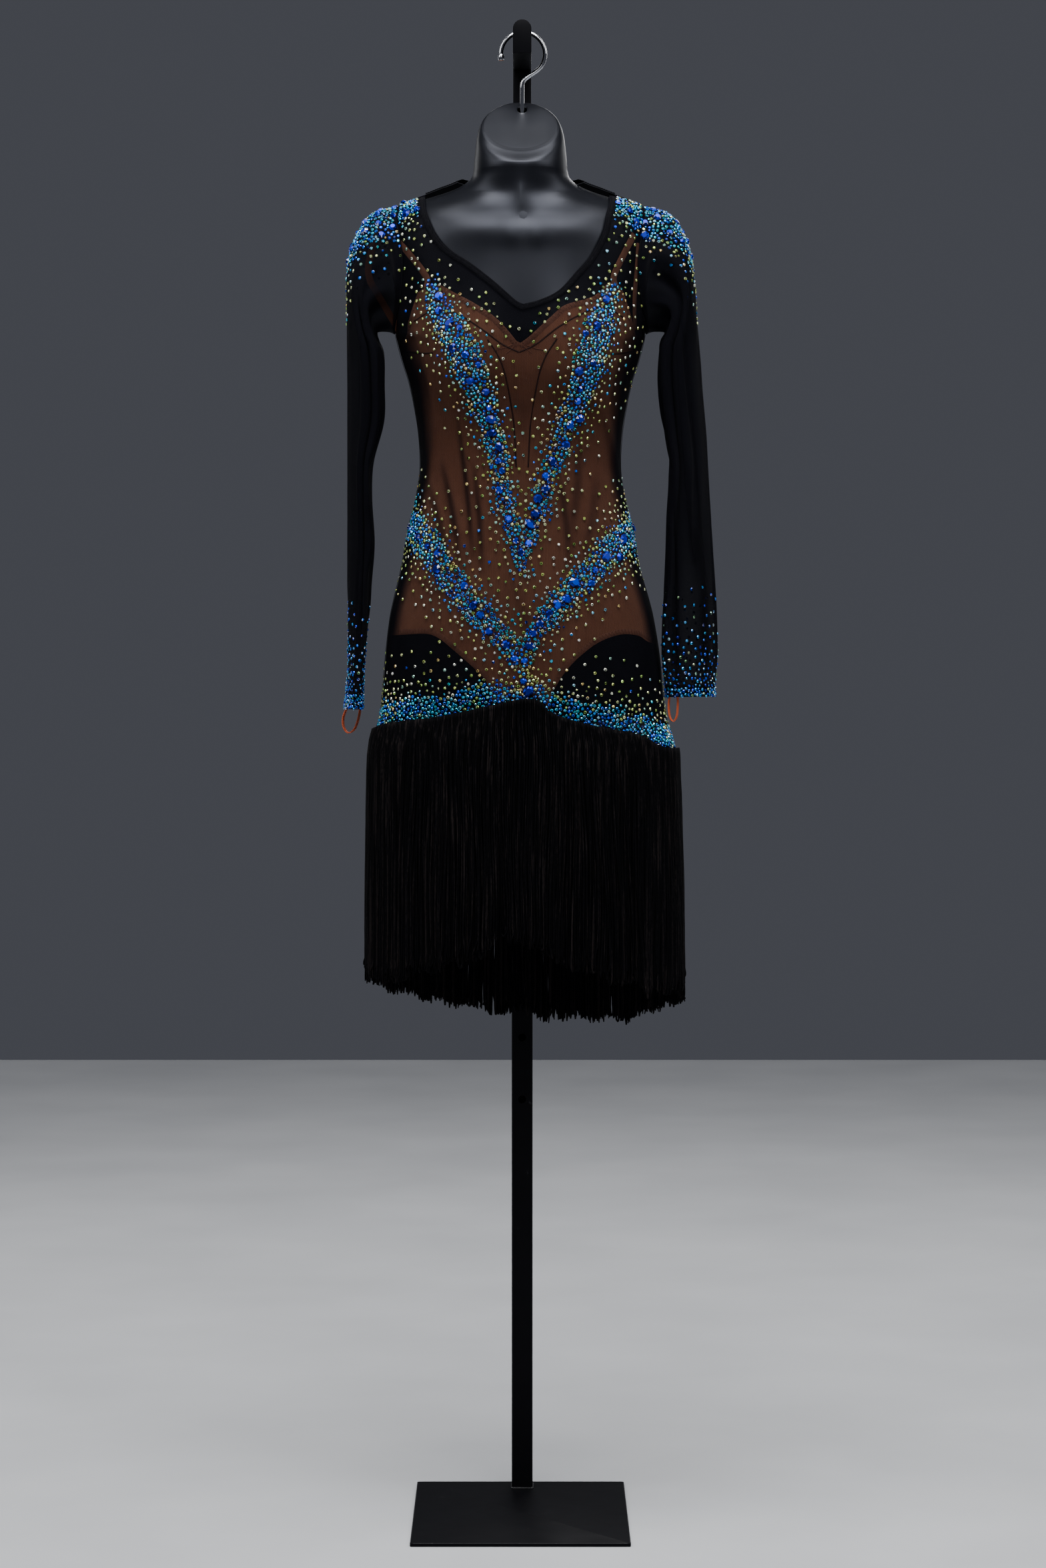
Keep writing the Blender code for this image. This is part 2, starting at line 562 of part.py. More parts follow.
def build_stand():
    solid_box("base_plate", (-PLATE_WIDTH / 2, -PLATE_DEPTH / 2, 0),
              (PLATE_WIDTH / 2, PLATE_DEPTH / 2, PLATE_THICKNESS), POWDER_COAT)
    outer = square_tube("outer_tube", POST_X, POST_Y, OUTER_TUBE_SIDE, OUTER_TUBE_WALL,
                        PLATE_THICKNESS + SEAM_GAP, OUTER_TUBE_TOP, POWDER_COAT)
    back_face = POST_Y + OUTER_TUBE_SIDE / 2
    hole = round_cutter("clamp_hole", CLAMP_HOLE_RADIUS,
                        (POST_X, back_face - CLAMP_STUD_REACH, CLAMP_Z),
                        (POST_X, back_face + CLAMP_STUD_REACH, CLAMP_Z))
    cut(outer, hole)
    square_tube("inner_tube", POST_X, POST_Y, INNER_TUBE_SIDE, INNER_TUBE_WALL,
                INNER_TUBE_BOTTOM, ARM_TOP, POWDER_COAT)

    # The screw's stud goes through the outer tube and stops short of the inner one.
    stud_length = OUTER_TUBE_WALL + CLAMP_STUD_REACH
    tip = POST_Y + INNER_TUBE_SIDE / 2 + SEAM_GAP
    flat = KNOB_RADIUS - KNOB_BEVEL
    knob = [(0, KNOB_LENGTH), (flat, KNOB_LENGTH), (KNOB_RADIUS, KNOB_LENGTH - KNOB_BEVEL),
            (KNOB_RADIUS, 0.0), (flat, -KNOB_BEVEL), (CLAMP_STUD_RADIUS, -KNOB_BEVEL),
            (CLAMP_STUD_RADIUS, -stud_length), (0, -stud_length)]
    turned("clamp_screw", knob, POWDER_COAT, (POST_X, tip + stud_length, CLAMP_Z),
           (-math.pi / 2, 0, 0), steps=20)

    half = INNER_TUBE_SIDE / 2
    arm_back = POST_Y - half - SEAM_GAP
    arm_front = ARM_TIP_Y + SEAM_GAP
    arm = solid_box("support_arm", (POST_X - half, arm_front, ARM_TOP - INNER_TUBE_SIDE),
                    (POST_X + half, arm_back, ARM_TOP), POWDER_COAT)
    inner = half - INNER_TUBE_WALL
    middle = ARM_TOP - half
    bore = solid_box("arm_bore", (POST_X - inner, arm_front - BORE_MARGIN, middle - inner),
                     (POST_X + inner, arm_back + BORE_MARGIN, middle + inner), None, cutters)
    cut(arm, as_cutter(bore))

    # End plate of the arm with a round top, which keeps the hook on.
    low = ARM_TOP - INNER_TUBE_SIDE
    shoulder = STOP_TOP - half
    outline = [(-half, low), (half, low), (half, shoulder)]
    outline += [(half * math.cos(a), shoulder + half * math.sin(a))
                for a in (math.pi * k / 12 for k in range(1, 12))]
    outline += [(-half, shoulder)]
    points = [(POST_X + x, ARM_TIP_Y, z) for x, z in outline]
    extruded("arm_stop", points, (0, -STOP_THICKNESS, 0), POWDER_COAT)


# ---------------------------------------------------------------- hook


def hook_path():
    """Question-mark hook: stem, bend to the side, and a loop over the arm, ending at the left."""
    inner = HOOK_LOOP_RADIUS - WIRE_RADIUS
    half = INNER_TUBE_SIDE / 2
    loop_x = HOOK_X + HOOK_LOOP_OFFSET
    reach_over_arm = half + abs(loop_x - POST_X)
    loop_z = ARM_TOP + 2 * SEAM_GAP - math.sqrt(inner ** 2 - reach_over_arm ** 2)

    def on_loop(angle):
        return Vector((loop_x + HOOK_LOOP_RADIUS * math.cos(angle), HOOK_Y,
                       loop_z + HOOK_LOOP_RADIUS * math.sin(angle)))

    low = SEAT_Z - SEAT_THICKNESS - HOOK_STEM_BELOW_SEAT
    path = [Vector((HOOK_X, HOOK_Y, low + (HOOK_STEM_TOP - low) * k / 8)) for k in range(9)]
    start, bend_end = path[-1], on_loop(HOOK_BEND_ANGLE)
    upwards = Vector((0, 0, HOOK_BEND_REACH))
    onto_loop = Vector((-math.sin(HOOK_BEND_ANGLE), 0, math.cos(HOOK_BEND_ANGLE))) * HOOK_BEND_REACH
    for k in range(1, 8):
        t = k / 8
        path.append((1 + 2 * t) * (1 - t) ** 2 * start + t * (1 - t) ** 2 * upwards
                    + t * t * (3 - 2 * t) * bend_end + t * t * (t - 1) * onto_loop)
    steps = 24
    sweep = HOOK_END_ANGLE - HOOK_BEND_ANGLE
    return path + [on_loop(HOOK_BEND_ANGLE + sweep * k / steps) for k in range(steps + 1)]


def build_hook():
    path = hook_path()
    curve = bpy.data.curves.new("swivel_hook", "CURVE")
    curve.dimensions = "3D"
    line = curve.splines.new("POLY")
    line.points.add(len(path) - 1)
    for point, place in zip(line.points, path):
        point.co = (*place, 1.0)
    curve.bevel_depth = WIRE_RADIUS
    curve.bevel_resolution = 2
    curve.use_fill_caps = True
    hook = bpy.data.objects.new("swivel_hook", curve)
    parts.objects.link(hook)
    curve.materials.append(HOOK_CHROME)

    # Rounded end of the wire
    end = path[-1] + (path[-1] - path[-2]).normalized() * (SEAM_GAP + HOOK_TIP_RADIUS)
    work = bmesh.new()
    bmesh.ops.create_uvsphere(work, u_segments=14, v_segments=8, radius=HOOK_TIP_RADIUS)
    ball = from_bmesh("hook_tip", work, HOOK_CHROME)
    ball.location = end

    # Nut that carries the form on the stem
    clear = WIRE_RADIUS + SEAM_GAP
    nut = [(clear, NUT_HEIGHT), (NUT_RADIUS, NUT_HEIGHT), (NUT_RADIUS, 0.0), (clear, 0.0),
           (clear, NUT_HEIGHT)]
    turned("hook_nut", nut, HOOK_CHROME,
           (HOOK_X, HOOK_Y, SEAT_Z - SEAT_THICKNESS - SEAM_GAP - NUT_HEIGHT), steps=20)


# ---------------------------------------------------------------- form


def build_form():
    grid = [FIGURE[i] for i in rows_between(FORM_BOTTOM, SECTIONS[-1].z)]
    for row in CAP_ROWS:
        ring = []
        for angle in ANGLES:
            y = -row.half_depth * math.sin(angle)
            ring.append(Vector((row.half_width * math.cos(angle), CAP_MIDDLE_Y + y,
                                row.z + row.slope * y)))
        grid.append(ring)
    shell = skin("form_shell", grid, FORM_PLASTIC, closed=True)
    work = bmesh.new()
    work.from_mesh(shell.data)
    work.verts.ensure_lookup_table()
    rim = [work.verts[len(work.verts) - COLUMNS + j] for j in range(COLUMNS)]
    middle = work.verts.new(Vector((0, CAP_MIDDLE_Y, CAP_ROWS[-1].z)))
    for j in range(COLUMNS):
        work.faces.new((rim[j], middle, rim[(j + 1) % COLUMNS]))
    work.to_mesh(shell.data)
    work.free()
    solidify(shell, FORM_WALL, outwards=False)
    cut(shell, round_cutter("hook_hole", HOOK_HOLE_RADIUS,
                            (HOOK_X, HOOK_Y, CAP_ROWS[1].z), (HOOK_X, HOOK_Y, ARM_TOP)))

    # Shelf across the inside of the neck, which hangs on the hook's nut.
    section = section_at(SEAT_Z)
    inset = FORM_WALL + 2 * SEAM_GAP
    lower = section._replace(half_width=section.half_width - inset, front=section.front + inset,
                             back=section.back - inset, z=SEAT_Z - SEAT_THICKNESS)
    points = [section_point(lower, angle) for angle in ANGLES]
    seat = extruded("hook_seat", points, (0, 0, SEAT_THICKNESS), FORM_PLASTIC)
    cut(seat, round_cutter("seat_hole", WIRE_RADIUS + SEAM_GAP,
                           (HOOK_X, HOOK_Y, SEAT_Z - BORE_MARGIN),
                           (HOOK_X, HOOK_Y, SEAT_Z + BORE_MARGIN)))


# ---------------------------------------------------------------- dress


INNER_LAYER = LAYER_GAP
OUTER_LAYER = 2 * LAYER_GAP + CLOTH
TRIM_LAYER = 3 * LAYER_GAP + 2 * CLOTH
HEM_LOW = SECTIONS[0].z


def armhole_ring(grow):
    """(y, z) points of the armhole, larger than the sleeve's inside by a margin."""
    ring = []
    for k in range(SLEEVE_STEPS):
        a = 2 * math.pi * k / SLEEVE_STEPS
        ring.append((-(ARMHOLE_HALF_DEPTH + grow) * math.sin(a),
                     ARMHOLE_Z + (ARMHOLE_HALF_HEIGHT + grow) * math.cos(a)))
    return ring


def armhole_cutter(name, side):
    points = [(side * ARMHOLE_CUT_FROM, y, z) for y, z in armhole_ring(CLOTH + SEAM_GAP)]
    return as_cutter(extruded(name, points, (side * CUTTER_REACH, 0, 0), None, cutters))


def hem_outline(hem):
    """Cutter outline of all that hangs below the hem."""
    line = [(x, z - HEM_OVERLAP) for x, z in hem]
    return [(-0.30, line[0][1])] + line + [(0.30, line[-1][1]), (0.30, 0.70), (-0.30, 0.70)]


def neckline_band(width):
    """The neckline, and the same line moved into the cloth by a width."""
    points = [Vector(point) for point in NECKLINE]
    moved = []
    for i, point in enumerate(points):
        travel = (points[min(i + 1, len(points) - 1)] - points[max(i - 1, 0)]).normalized()
        moved.append(point + Vector((travel.y, -travel.x)) * width)
    return points, moved


def build_mesh_panels():
    armholes = [armhole_cutter("armhole_left", 1), armhole_cutter("armhole_right", -1)]
    neck = prism("neck_cut", NECKLINE + [(0.2, 1.70), (-0.2, 1.70)])
    front = panel("mesh_front", OUTER_LAYER, FRONT_COLUMNS, HEM_LOW, NECKLINE_BACK, BLACK_MESH)
    cut(front, neck)
    cut(front, prism("hem_cut_front", hem_outline(HEM_FRONT)))
    back = panel("mesh_back", OUTER_LAYER, BACK_COLUMNS, HEM_LOW, NECKLINE_BACK, BLACK_MESH)
    cut(back, prism("hem_cut_back", hem_outline(HEM_BACK)))
    for thing in (front, back):
        for hole in armholes:
            cut(thing, hole)

    edge, inside = neckline_band(BINDING_WIDTH)
    outline = [tuple(p) for p in edge] + [tuple(p) for p in reversed(inside)]
    binding = panel("neck_binding", TRIM_LAYER, FRONT_COLUMNS, BINDING_BOTTOM, NECKLINE_BACK,
                    BLACK_MESH)
    cut(binding, prism("binding_cut", outline), "INTERSECT")


def build_bodysuit():
    front = panel("bodysuit_front", INNER_LAYER, FRONT_COLUMNS, FORM_BOTTOM,
                  BODYSUIT_FRONT_HEIGHT, BROWN_JERSEY)
    cut(front, prism("bodysuit_front_cut", BODYSUIT_TOP + BODYSUIT_LEGS), "INTERSECT")
    back = panel("bodysuit_back", INNER_LAYER, BACK_COLUMNS, FORM_BOTTOM,
                 BODYSUIT_BACK_HEIGHT, BROWN_JERSEY)
    cut(back, prism("bodysuit_back_cut", BODYSUIT_BACK), "INTERSECT")
    for name, outline in STRAPS.items():
        strap = panel(name, INNER_LAYER, FRONT_COLUMNS, *STRAP_HEIGHTS, BROWN_JERSEY)
        cut(strap, prism(name + "_cut", outline), "INTERSECT")

    # Crotch of the bodysuit: it passes under the open bottom of the form.
    out = INNER_LAYER + BAND_THICKNESS / 2
    front_y = facet_y(FORM_BOTTOM, FRONT_COLUMNS, GUSSET_WIDTH / 2) - out
    back_y = facet_y(FORM_BOTTOM, BACK_COLUMNS, GUSSET_WIDTH / 2) + out
    top = FORM_BOTTOM - SEAM_GAP
    low = FORM_BOTTOM - GUSSET_DROP
    turn_down = [(0.0, top), (0.0002, low + 0.0015), (0.003, low - 0.0005)]
    path = [(GUSSET_X, front_y + inwards, z) for inwards, z in turn_down]
    for k in range(1, 10):
        y = front_y + (back_y - front_y) * k / 10
        path.append((GUSSET_X, y, low - 0.001 - GUSSET_SAG * math.sin(math.pi * k / 10)))
    path += [(GUSSET_X, back_y - inwards, z) for inwards, z in turn_down[::-1]]
    band("bodysuit_gusset", path, (1, 0, 0), GUSSET_WIDTH, BROWN_JERSEY)
    band("strap_side_right", LOOSE_STRAP, STRAP_ACROSS, STRAP_WIDTH, BROWN_JERSEY)


def sleeve_ring(ring, side):
    """Points of one ring of a sleeve: flattened oval between the inner and the outer edge."""
    inner, outer = Vector((ring.inner_x, 0, ring.inner_z)), Vector((ring.outer_x, 0, ring.outer_z))
    middle, half = (inner + outer) / 2, (outer - inner).length / 2
    out = (outer - inner).normalized()
    turn = math.radians(ring.turn)
    long_half = ring.half_depth
    wide = long_half * math.sin(turn)
    short_half = math.sqrt(max(half ** 2 - wide ** 2, 1e-6)) / math.cos(turn)
    points = []
    for k in range(SLEEVE_STEPS):
        a = 2 * math.pi * k / SLEEVE_STEPS
        short, long = short_half * math.cos(a), long_half * math.sin(a)
        along_out = short * math.cos(turn) - long * math.sin(turn)
        depth = -short * math.sin(turn) - long * math.cos(turn)
        point = middle + out * along_out + Vector((0, depth, 0))
        points.append(Vector((side * point.x, point.y, point.z)))
    return points


def armhole_points(side):
    """First ring of a sleeve: it lies in the armhole, in the thickness of the body panels."""
    points = []
    for y, z in armhole_ring(0.0):
        section = section_at(z)
        if y < section.middle:
            edge, power = section.front, section.front_power
        else:
            edge, power = section.back, section.back_power
        share = min((y - section.middle) / (edge - section.middle), 0.95)
        x = section.half_width * (1 - share ** power) ** (1 / power)
        points.append(Vector((side * (x + OUTER_LAYER + ARMHOLE_LIP), y, z)))
    return points


def build_sleeves():
    for name, rings, side in (("sleeve_right", SLEEVE_RIGHT, -1), ("sleeve_left", SLEEVE_LEFT, 1)):
        grid = [armhole_points(side)] + [sleeve_ring(ring, side) for ring in rings]
        if side > 0:
            grid = [row[::-1] for row in grid]
        thing = skin(name, grid, BLACK_MESH, closed=True)
        solidify(thing, CLOTH)


def fringe_panel(name, columns, hem, ends):
    """Plain curtain of the fringe's reach: sewn over the hem, then hanging to the ends of its cords."""
    reach = OUTER_LAYER + CLOTH + FRINGE_GAP
    grid = [[] for _ in range(len(SEWN_DROPS) + FRINGE_ROWS)]
    for j in columns:
        angle = ANGLES[j % COLUMNS]
        top = along(hem, section_point(section_at(HEM_MEASURED_AT), angle).x)
        bottom = section_point(FRINGE_BOTTOM, angle)
        bottom.z = along(ends, bottom.x)
        after = section_point(FRINGE_BOTTOM, angle + 0.02)
        around = after - section_point(FRINGE_BOTTOM, angle - 0.02)
        out = Vector((-around.y, around.x, 0)).normalized()
        if out.dot(Vector((bottom.x, bottom.y, 0))) < 0:
            out = -out
        for i, drop in enumerate(SEWN_DROPS):
            grid[i].append(section_point(section_at(top - drop), angle) + out * reach)
        sewn_end = grid[len(SEWN_DROPS) - 1][-1]
        bottom += out * reach
        for i in range(1, FRINGE_ROWS + 1):
            here = sewn_end.lerp(bottom, min(1.0, 1.5 * i / FRINGE_ROWS))
            here.z = sewn_end.z + (bottom.z - sewn_end.z) * i / FRINGE_ROWS
            grid[len(SEWN_DROPS) - 1 + i].append(here)
    for row in grid:
        row[0] = row[0] + (row[1] - row[0]).normalized() * SEAM_GAP
        row[-1] = row[-1] + (row[-2] - row[-1]).normalized() * SEAM_GAP
    thing = skin(name, grid[::-1], BLACK_FRINGE)
    solidify(thing, FRINGE_THICKNESS)


def build_fringe():
    fringe_panel("fringe_front", FRONT_COLUMNS, HEM_FRONT, FRINGE_END_FRONT)
    fringe_panel("fringe_back", BACK_COLUMNS, HEM_BACK, FRINGE_END_BACK)


def build_loops():
    for name, path in (("finger_loop_right", LOOP_RIGHT), ("finger_loop_left", LOOP_LEFT)):
        band(name, path, LOOP_ACROSS, LOOP_WIDTH, LOOP_ELASTIC)


build_stand()
build_hook()
build_form()
build_mesh_panels()
build_bodysuit()
build_sleeves()
build_fringe()
build_loops()
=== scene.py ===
import math

import bmesh
import bpy
import numpy as np
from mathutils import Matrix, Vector


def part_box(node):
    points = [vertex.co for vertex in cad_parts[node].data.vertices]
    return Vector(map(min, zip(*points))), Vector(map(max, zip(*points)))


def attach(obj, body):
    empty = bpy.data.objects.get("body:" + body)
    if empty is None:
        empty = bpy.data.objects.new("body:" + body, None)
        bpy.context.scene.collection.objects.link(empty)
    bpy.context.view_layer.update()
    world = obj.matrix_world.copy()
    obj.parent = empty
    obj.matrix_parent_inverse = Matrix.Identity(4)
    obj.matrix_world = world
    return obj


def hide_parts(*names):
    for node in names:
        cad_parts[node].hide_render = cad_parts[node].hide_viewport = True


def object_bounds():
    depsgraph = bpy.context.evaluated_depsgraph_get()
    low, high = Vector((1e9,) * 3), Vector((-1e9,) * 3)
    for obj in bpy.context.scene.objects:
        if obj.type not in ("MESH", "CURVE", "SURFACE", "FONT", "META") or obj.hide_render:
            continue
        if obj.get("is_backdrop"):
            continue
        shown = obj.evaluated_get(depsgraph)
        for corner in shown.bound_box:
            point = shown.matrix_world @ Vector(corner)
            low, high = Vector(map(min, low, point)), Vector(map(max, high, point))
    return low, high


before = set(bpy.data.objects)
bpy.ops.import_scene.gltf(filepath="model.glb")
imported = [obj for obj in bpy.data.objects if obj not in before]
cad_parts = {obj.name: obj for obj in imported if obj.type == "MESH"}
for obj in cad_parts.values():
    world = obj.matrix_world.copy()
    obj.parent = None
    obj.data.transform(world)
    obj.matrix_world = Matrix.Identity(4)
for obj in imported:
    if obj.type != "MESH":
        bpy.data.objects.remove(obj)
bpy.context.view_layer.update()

# ---------------------------------------------------------------- room
# A dress on a form is shown on a plain pale floor. One large soft light hangs over it, weaker ones
# stand in front, behind and above both sides, and a tall narrow one at each side a little behind
# draws the edges of the black tube and plastic.

FLOOR_SIZE = 9.0
CAMERA_PLACE = (0.003, -4.4025, 1.07)
CAMERA_LENS, CAMERA_SENSOR, CAMERA_SHIFT = 85, 36, -0.1078
ROOM_LIGHT = (0.062, 0.065, 0.077, 1)
# place, height it points at, width, height, strength in watts
SOFT_BOXES = {
    "light_over": ((0.0, -1.0, 3.9), 1.35, 2.6, 2.2, 200),
    "light_high_left": ((-2.5, -1.1, 3.1), 1.35, 1.9, 1.9, 35),
    "light_high_right": ((2.5, -1.1, 3.1), 1.35, 1.9, 1.9, 35),
    "light_front": ((0.3, -3.6, 3.7), 1.2, 2.4, 2.2, 40),
    "light_left": ((-1.7, 2.1, 1.75), 1.35, 0.45, 2.1, 6),
    "light_right": ((1.7, 2.1, 1.75), 1.35, 0.45, 2.1, 6),
    "light_behind": ((0.4, 2.8, 2.6), 1.2, 1.6, 1.2, 20),
}


def placed(name, data):
    """Puts a camera, a light or a mesh in the scene under a name."""
    data.name = name
    made = bpy.data.objects.new(name, data)
    bpy.context.scene.collection.objects.link(made)
    return made


lens = bpy.data.cameras.new("camera")
lens.lens, lens.sensor_width, lens.shift_y = CAMERA_LENS, CAMERA_SENSOR, CAMERA_SHIFT
camera = placed("camera", lens)
camera.location = CAMERA_PLACE
camera.rotation_euler = (math.radians(90), 0, 0)
bpy.context.scene.camera = camera

for name, (place, aim, width, height, watts) in SOFT_BOXES.items():
    box = bpy.data.lights.new(name, "AREA")
    box.shape = "RECTANGLE"
    box.size, box.size_y, box.energy = width, height, watts
    hung = placed(name, box)
    hung.location = place
    hung.rotation_euler = (Vector((0, 0, aim)) - Vector(place)).to_track_quat("-Z", "Y").to_euler()

air = bpy.data.worlds.new("room")
air.use_nodes = True
air.node_tree.nodes["Background"].inputs["Color"].default_value = ROOM_LIGHT
air.node_tree.nodes["Background"].inputs["Strength"].default_value = 1.0
bpy.context.scene.world = air


def new_finish(name, color, roughness, **sockets):
    """A material; each further socket of its shader is set by its name."""
    made = bpy.data.materials.new(name)
    made.use_nodes = True
    shader = made.node_tree.nodes["Principled BSDF"]
    shader.inputs["Base Color"].default_value = (*color, 1)
    shader.inputs["Roughness"].default_value = roughness
    for socket, value in sockets.items():
        shader.inputs[socket.replace("_", " ")].default_value = value
    return made


def put(finish, kind, inputs=None, **settings):
    """Adds a node. Each input takes a plain value or the output of another node."""
    made = finish.node_tree.nodes.new("ShaderNode" + kind)
    for setting, value in settings.items():
        setattr(made, setting, value)
    for socket, value in (inputs or {}).items():
        if isinstance(value, bpy.types.NodeSocket):
            finish.node_tree.links.new(value, made.inputs[socket])
        else:
            made.inputs[socket].default_value = value
    return made


def onto_shader(finish, **links):
    shader = finish.node_tree.nodes["Principled BSDF"]
    for socket, output in links.items():
        finish.node_tree.links.new(output, shader.inputs[socket.replace("_", " ")])


def ramp(finish, value, stops):
    """Colours or shades of grey along a value: stops are (place, colour)."""
    made = put(finish, "ValToRGB", {"Fac": value})
    while len(made.color_ramp.elements) < len(stops):
        made.color_ramp.elements.new(0.5)
    for element, (place, color) in zip(made.color_ramp.elements, stops):
        element.position = place
        element.color = (*color, 1) if isinstance(color, tuple) else (color, color, color, 1)
    return made.outputs["Color"]


def grain(finish, scale, detail=3.0, roughness=0.5, stretch=(1, 1, 1)):
    """Noise in metres of the piece: scale is its bumps in a metre."""
    place = put(finish, "TexCoord").outputs["Object"]
    place = put(finish, "Mapping", {"Vector": place, "Scale": stretch}).outputs["Vector"]
    return put(finish, "TexNoise", {"Vector": place, "Scale": scale, "Detail": detail,
                                    "Roughness": roughness}).outputs["Fac"]


def mottled(finish, stops, *kind_of_grain):
    """Colours or shades of grey that follow a grain of this scale, detail and roughness."""
    return ramp(finish, grain(finish, *kind_of_grain), stops)


def mesh_of(points, faces):
    mesh = bpy.data.meshes.new("made")
    mesh.from_pydata(np.asarray(points, float).reshape(-1, 3).tolist(), [],
                     [list(map(int, face)) for face in faces])
    mesh.update()
    return mesh


floor_paint = new_finish("floor_paint", (0.50, 0.51, 0.53), 0.85)
onto_shader(floor_paint, Base_Color=mottled(floor_paint, [(0.3, (0.46, 0.47, 0.49)),
                                                          (0.7, (0.52, 0.53, 0.55))], 3.0))
corners = [(x * FLOOR_SIZE / 2, y * FLOOR_SIZE / 2, 0) for x, y in ((-1, -1), (1, -1), (1, 1), (-1, 1))]
floor_mesh = mesh_of(corners, [(0, 1, 2, 3)])
floor_mesh.materials.append(floor_paint)
placed("floor", floor_mesh)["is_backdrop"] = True

# ---------------------------------------------------------------- stand: base plate and tubes
# A 4 mm steel plate with a square steel tube welded to it. A narrower tube slides inside and carries
# a short arm with a round-topped end plate. All of it is coated with black powder, chipped here and
# there along its edges; a screw with a fluted plastic knob clamps the inner tube from behind.

COAT_CHIP, PLATE_CORNER, TUBE_CORNER = 0.0004, 0.0025, 0.0022
POST_WALL, MAST_WALL = 0.0014, 0.0015
WELD_RADIUS, WORN_EDGE_RADIUS, HOLE_EDGE_RADIUS = 0.0011, 0.00045, 0.0003
PIN_HOLES, PIN_HOLE_RADIUS = (0.5544, 0.4788), 0.0050
KNOB_FLUTES = 9
# distance from the outer end of the knob, share of its radius, depth of the flutes
KNOB_ROWS = [(0.0, 0.30, 0), (0.0, 0.72, 0), (0.0012, 0.90, 0.04), (0.003, 0.965, 0.07), (0.010, 0.97, 0.08),
             (0.019, 0.965, 0.07), (0.0215, 0.90, 0.03), (0.0235, 0.55, 0), (0.0238, 0.249, 0)]


def relief(finish, height, depth, below=None):
    """Bumps in the surface: depth in metres of the highest one."""
    made = put(finish, "Bump", {"Height": height, "Distance": depth, "Strength": 1.0})
    if below:
        finish.node_tree.links.new(below, made.inputs["Normal"])
    return made.outputs["Normal"]


powder_black = new_finish("powder_black", (0.003, 0.003, 0.004), 0.5, IOR=1.12)
onto_shader(powder_black, Normal=relief(powder_black, grain(powder_black, 900.0, 2.0), 0.00006),
            Roughness=mottled(powder_black, [(0.3, 0.42), (0.7, 0.55)], 14.0, 5.0),
            Base_Color=mottled(powder_black, [(0.0, (0.0025, 0.0025, 0.0035)), (0.66, (0.004, 0.004, 0.005)),
                                              (0.72, (0.03, 0.03, 0.032))], 46.0, 8.0, 0.72))
chipped_coat = new_finish("chipped_coat", (0.012, 0.012, 0.014), 0.45)
onto_shader(chipped_coat, Base_Color=mottled(chipped_coat, [(0.60, (0.012, 0.012, 0.014)),
                                                            (0.68, (0.30, 0.29, 0.28))], 620.0, 6.0, 0.7))
# A flat black with no reflection that stands for the shade inside a hole: painted shade.
hole_shade_black = new_finish("hole_shade_black", (0.0008, 0.0008, 0.001), 1.0, Specular_IOR_Level=0.0)


def add_piece(name, mesh, finish, body, nodes=(), sharp=40):
    """Puts a mesh in the scene as a piece that rides on a body and stands for its CAD nodes."""
    mesh.shade_smooth()
    mesh.set_sharp_from_angle(angle=math.radians(sharp))
    mesh.materials.append(finish)
    made = placed(name, mesh)
    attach(made, body)
    if nodes:
        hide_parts(*nodes)
    return made


def add_coated(name, mesh, nodes=(), body="base", finish=powder_black, sharp=40):
    return add_piece(name, mesh, finish, body, nodes, sharp)


def from_bmesh(work):
    bmesh.ops.recalc_face_normals(work, faces=work.faces)
    mesh = bpy.data.meshes.new("made")
    work.to_mesh(mesh)
    work.free()
    return mesh


def rounded(work, width, segments, axis, across=True):
    """Rounds the edges that lie across an axis, or those along it."""
    edges = [edge for edge in work.edges
             if (abs(edge.verts[0].co[axis] - edge.verts[1].co[axis]) < 0.001) == across]
    bmesh.ops.bevel(work, geom=edges, offset=width, segments=segments, affect="EDGES", profile=0.5)


def square_outline(half, corner, steps=5):
    """Square with round corners, as (u, v) points in order."""
    points = []
    for k in range(4):
        middle = math.pi / 4 + k * math.pi / 2
        cu = math.copysign(half - corner, math.cos(middle))
        cv = math.copysign(half - corner, math.sin(middle))
        for i in range(steps + 1):
            a = middle - math.pi / 4 + i * math.pi / 2 / steps
            points.append((cu + corner * math.cos(a), cv + corner * math.sin(a)))
    return points


def lofted(loops, closed=True):
    """Skin over loops of points; closed joins the last loop to the first."""
    work = bmesh.new()
    rows = [[work.verts.new(point) for point in loop] for loop in loops]
    for lower, upper in list(zip(rows, rows[1:])) + ([(rows[-1], rows[0])] if closed else []):
        for k in range(len(lower)):
            n = (k + 1) % len(lower)
            work.faces.new((lower[k], lower[n], upper[n], upper[k]))
    return from_bmesh(work)


def square_tube(u, v, side, wall, start, end, lying=False):
    """Square tube with slightly broken ends, upright at (x, y) or lying front to back at (x, z)."""
    loops = []
    for half, corner, inset in ((side / 2, TUBE_CORNER, 1), (side / 2 - wall, TUBE_CORNER / 3, -1)):
        broken = half - inset * COAT_CHIP
        rows = [(broken, start), (half, start + COAT_CHIP), (half, end - COAT_CHIP), (broken, end)]
        for reach, along in rows[::inset]:
            outline = square_outline(reach, corner)
            loops.append([(u + du, along, v + dv) if lying else (u + du, v + dv, along)
                          for du, dv in outline])
    return lofted(loops)


def unit(vectors):
    return vectors / np.linalg.norm(vectors, axis=-1, keepdims=True)


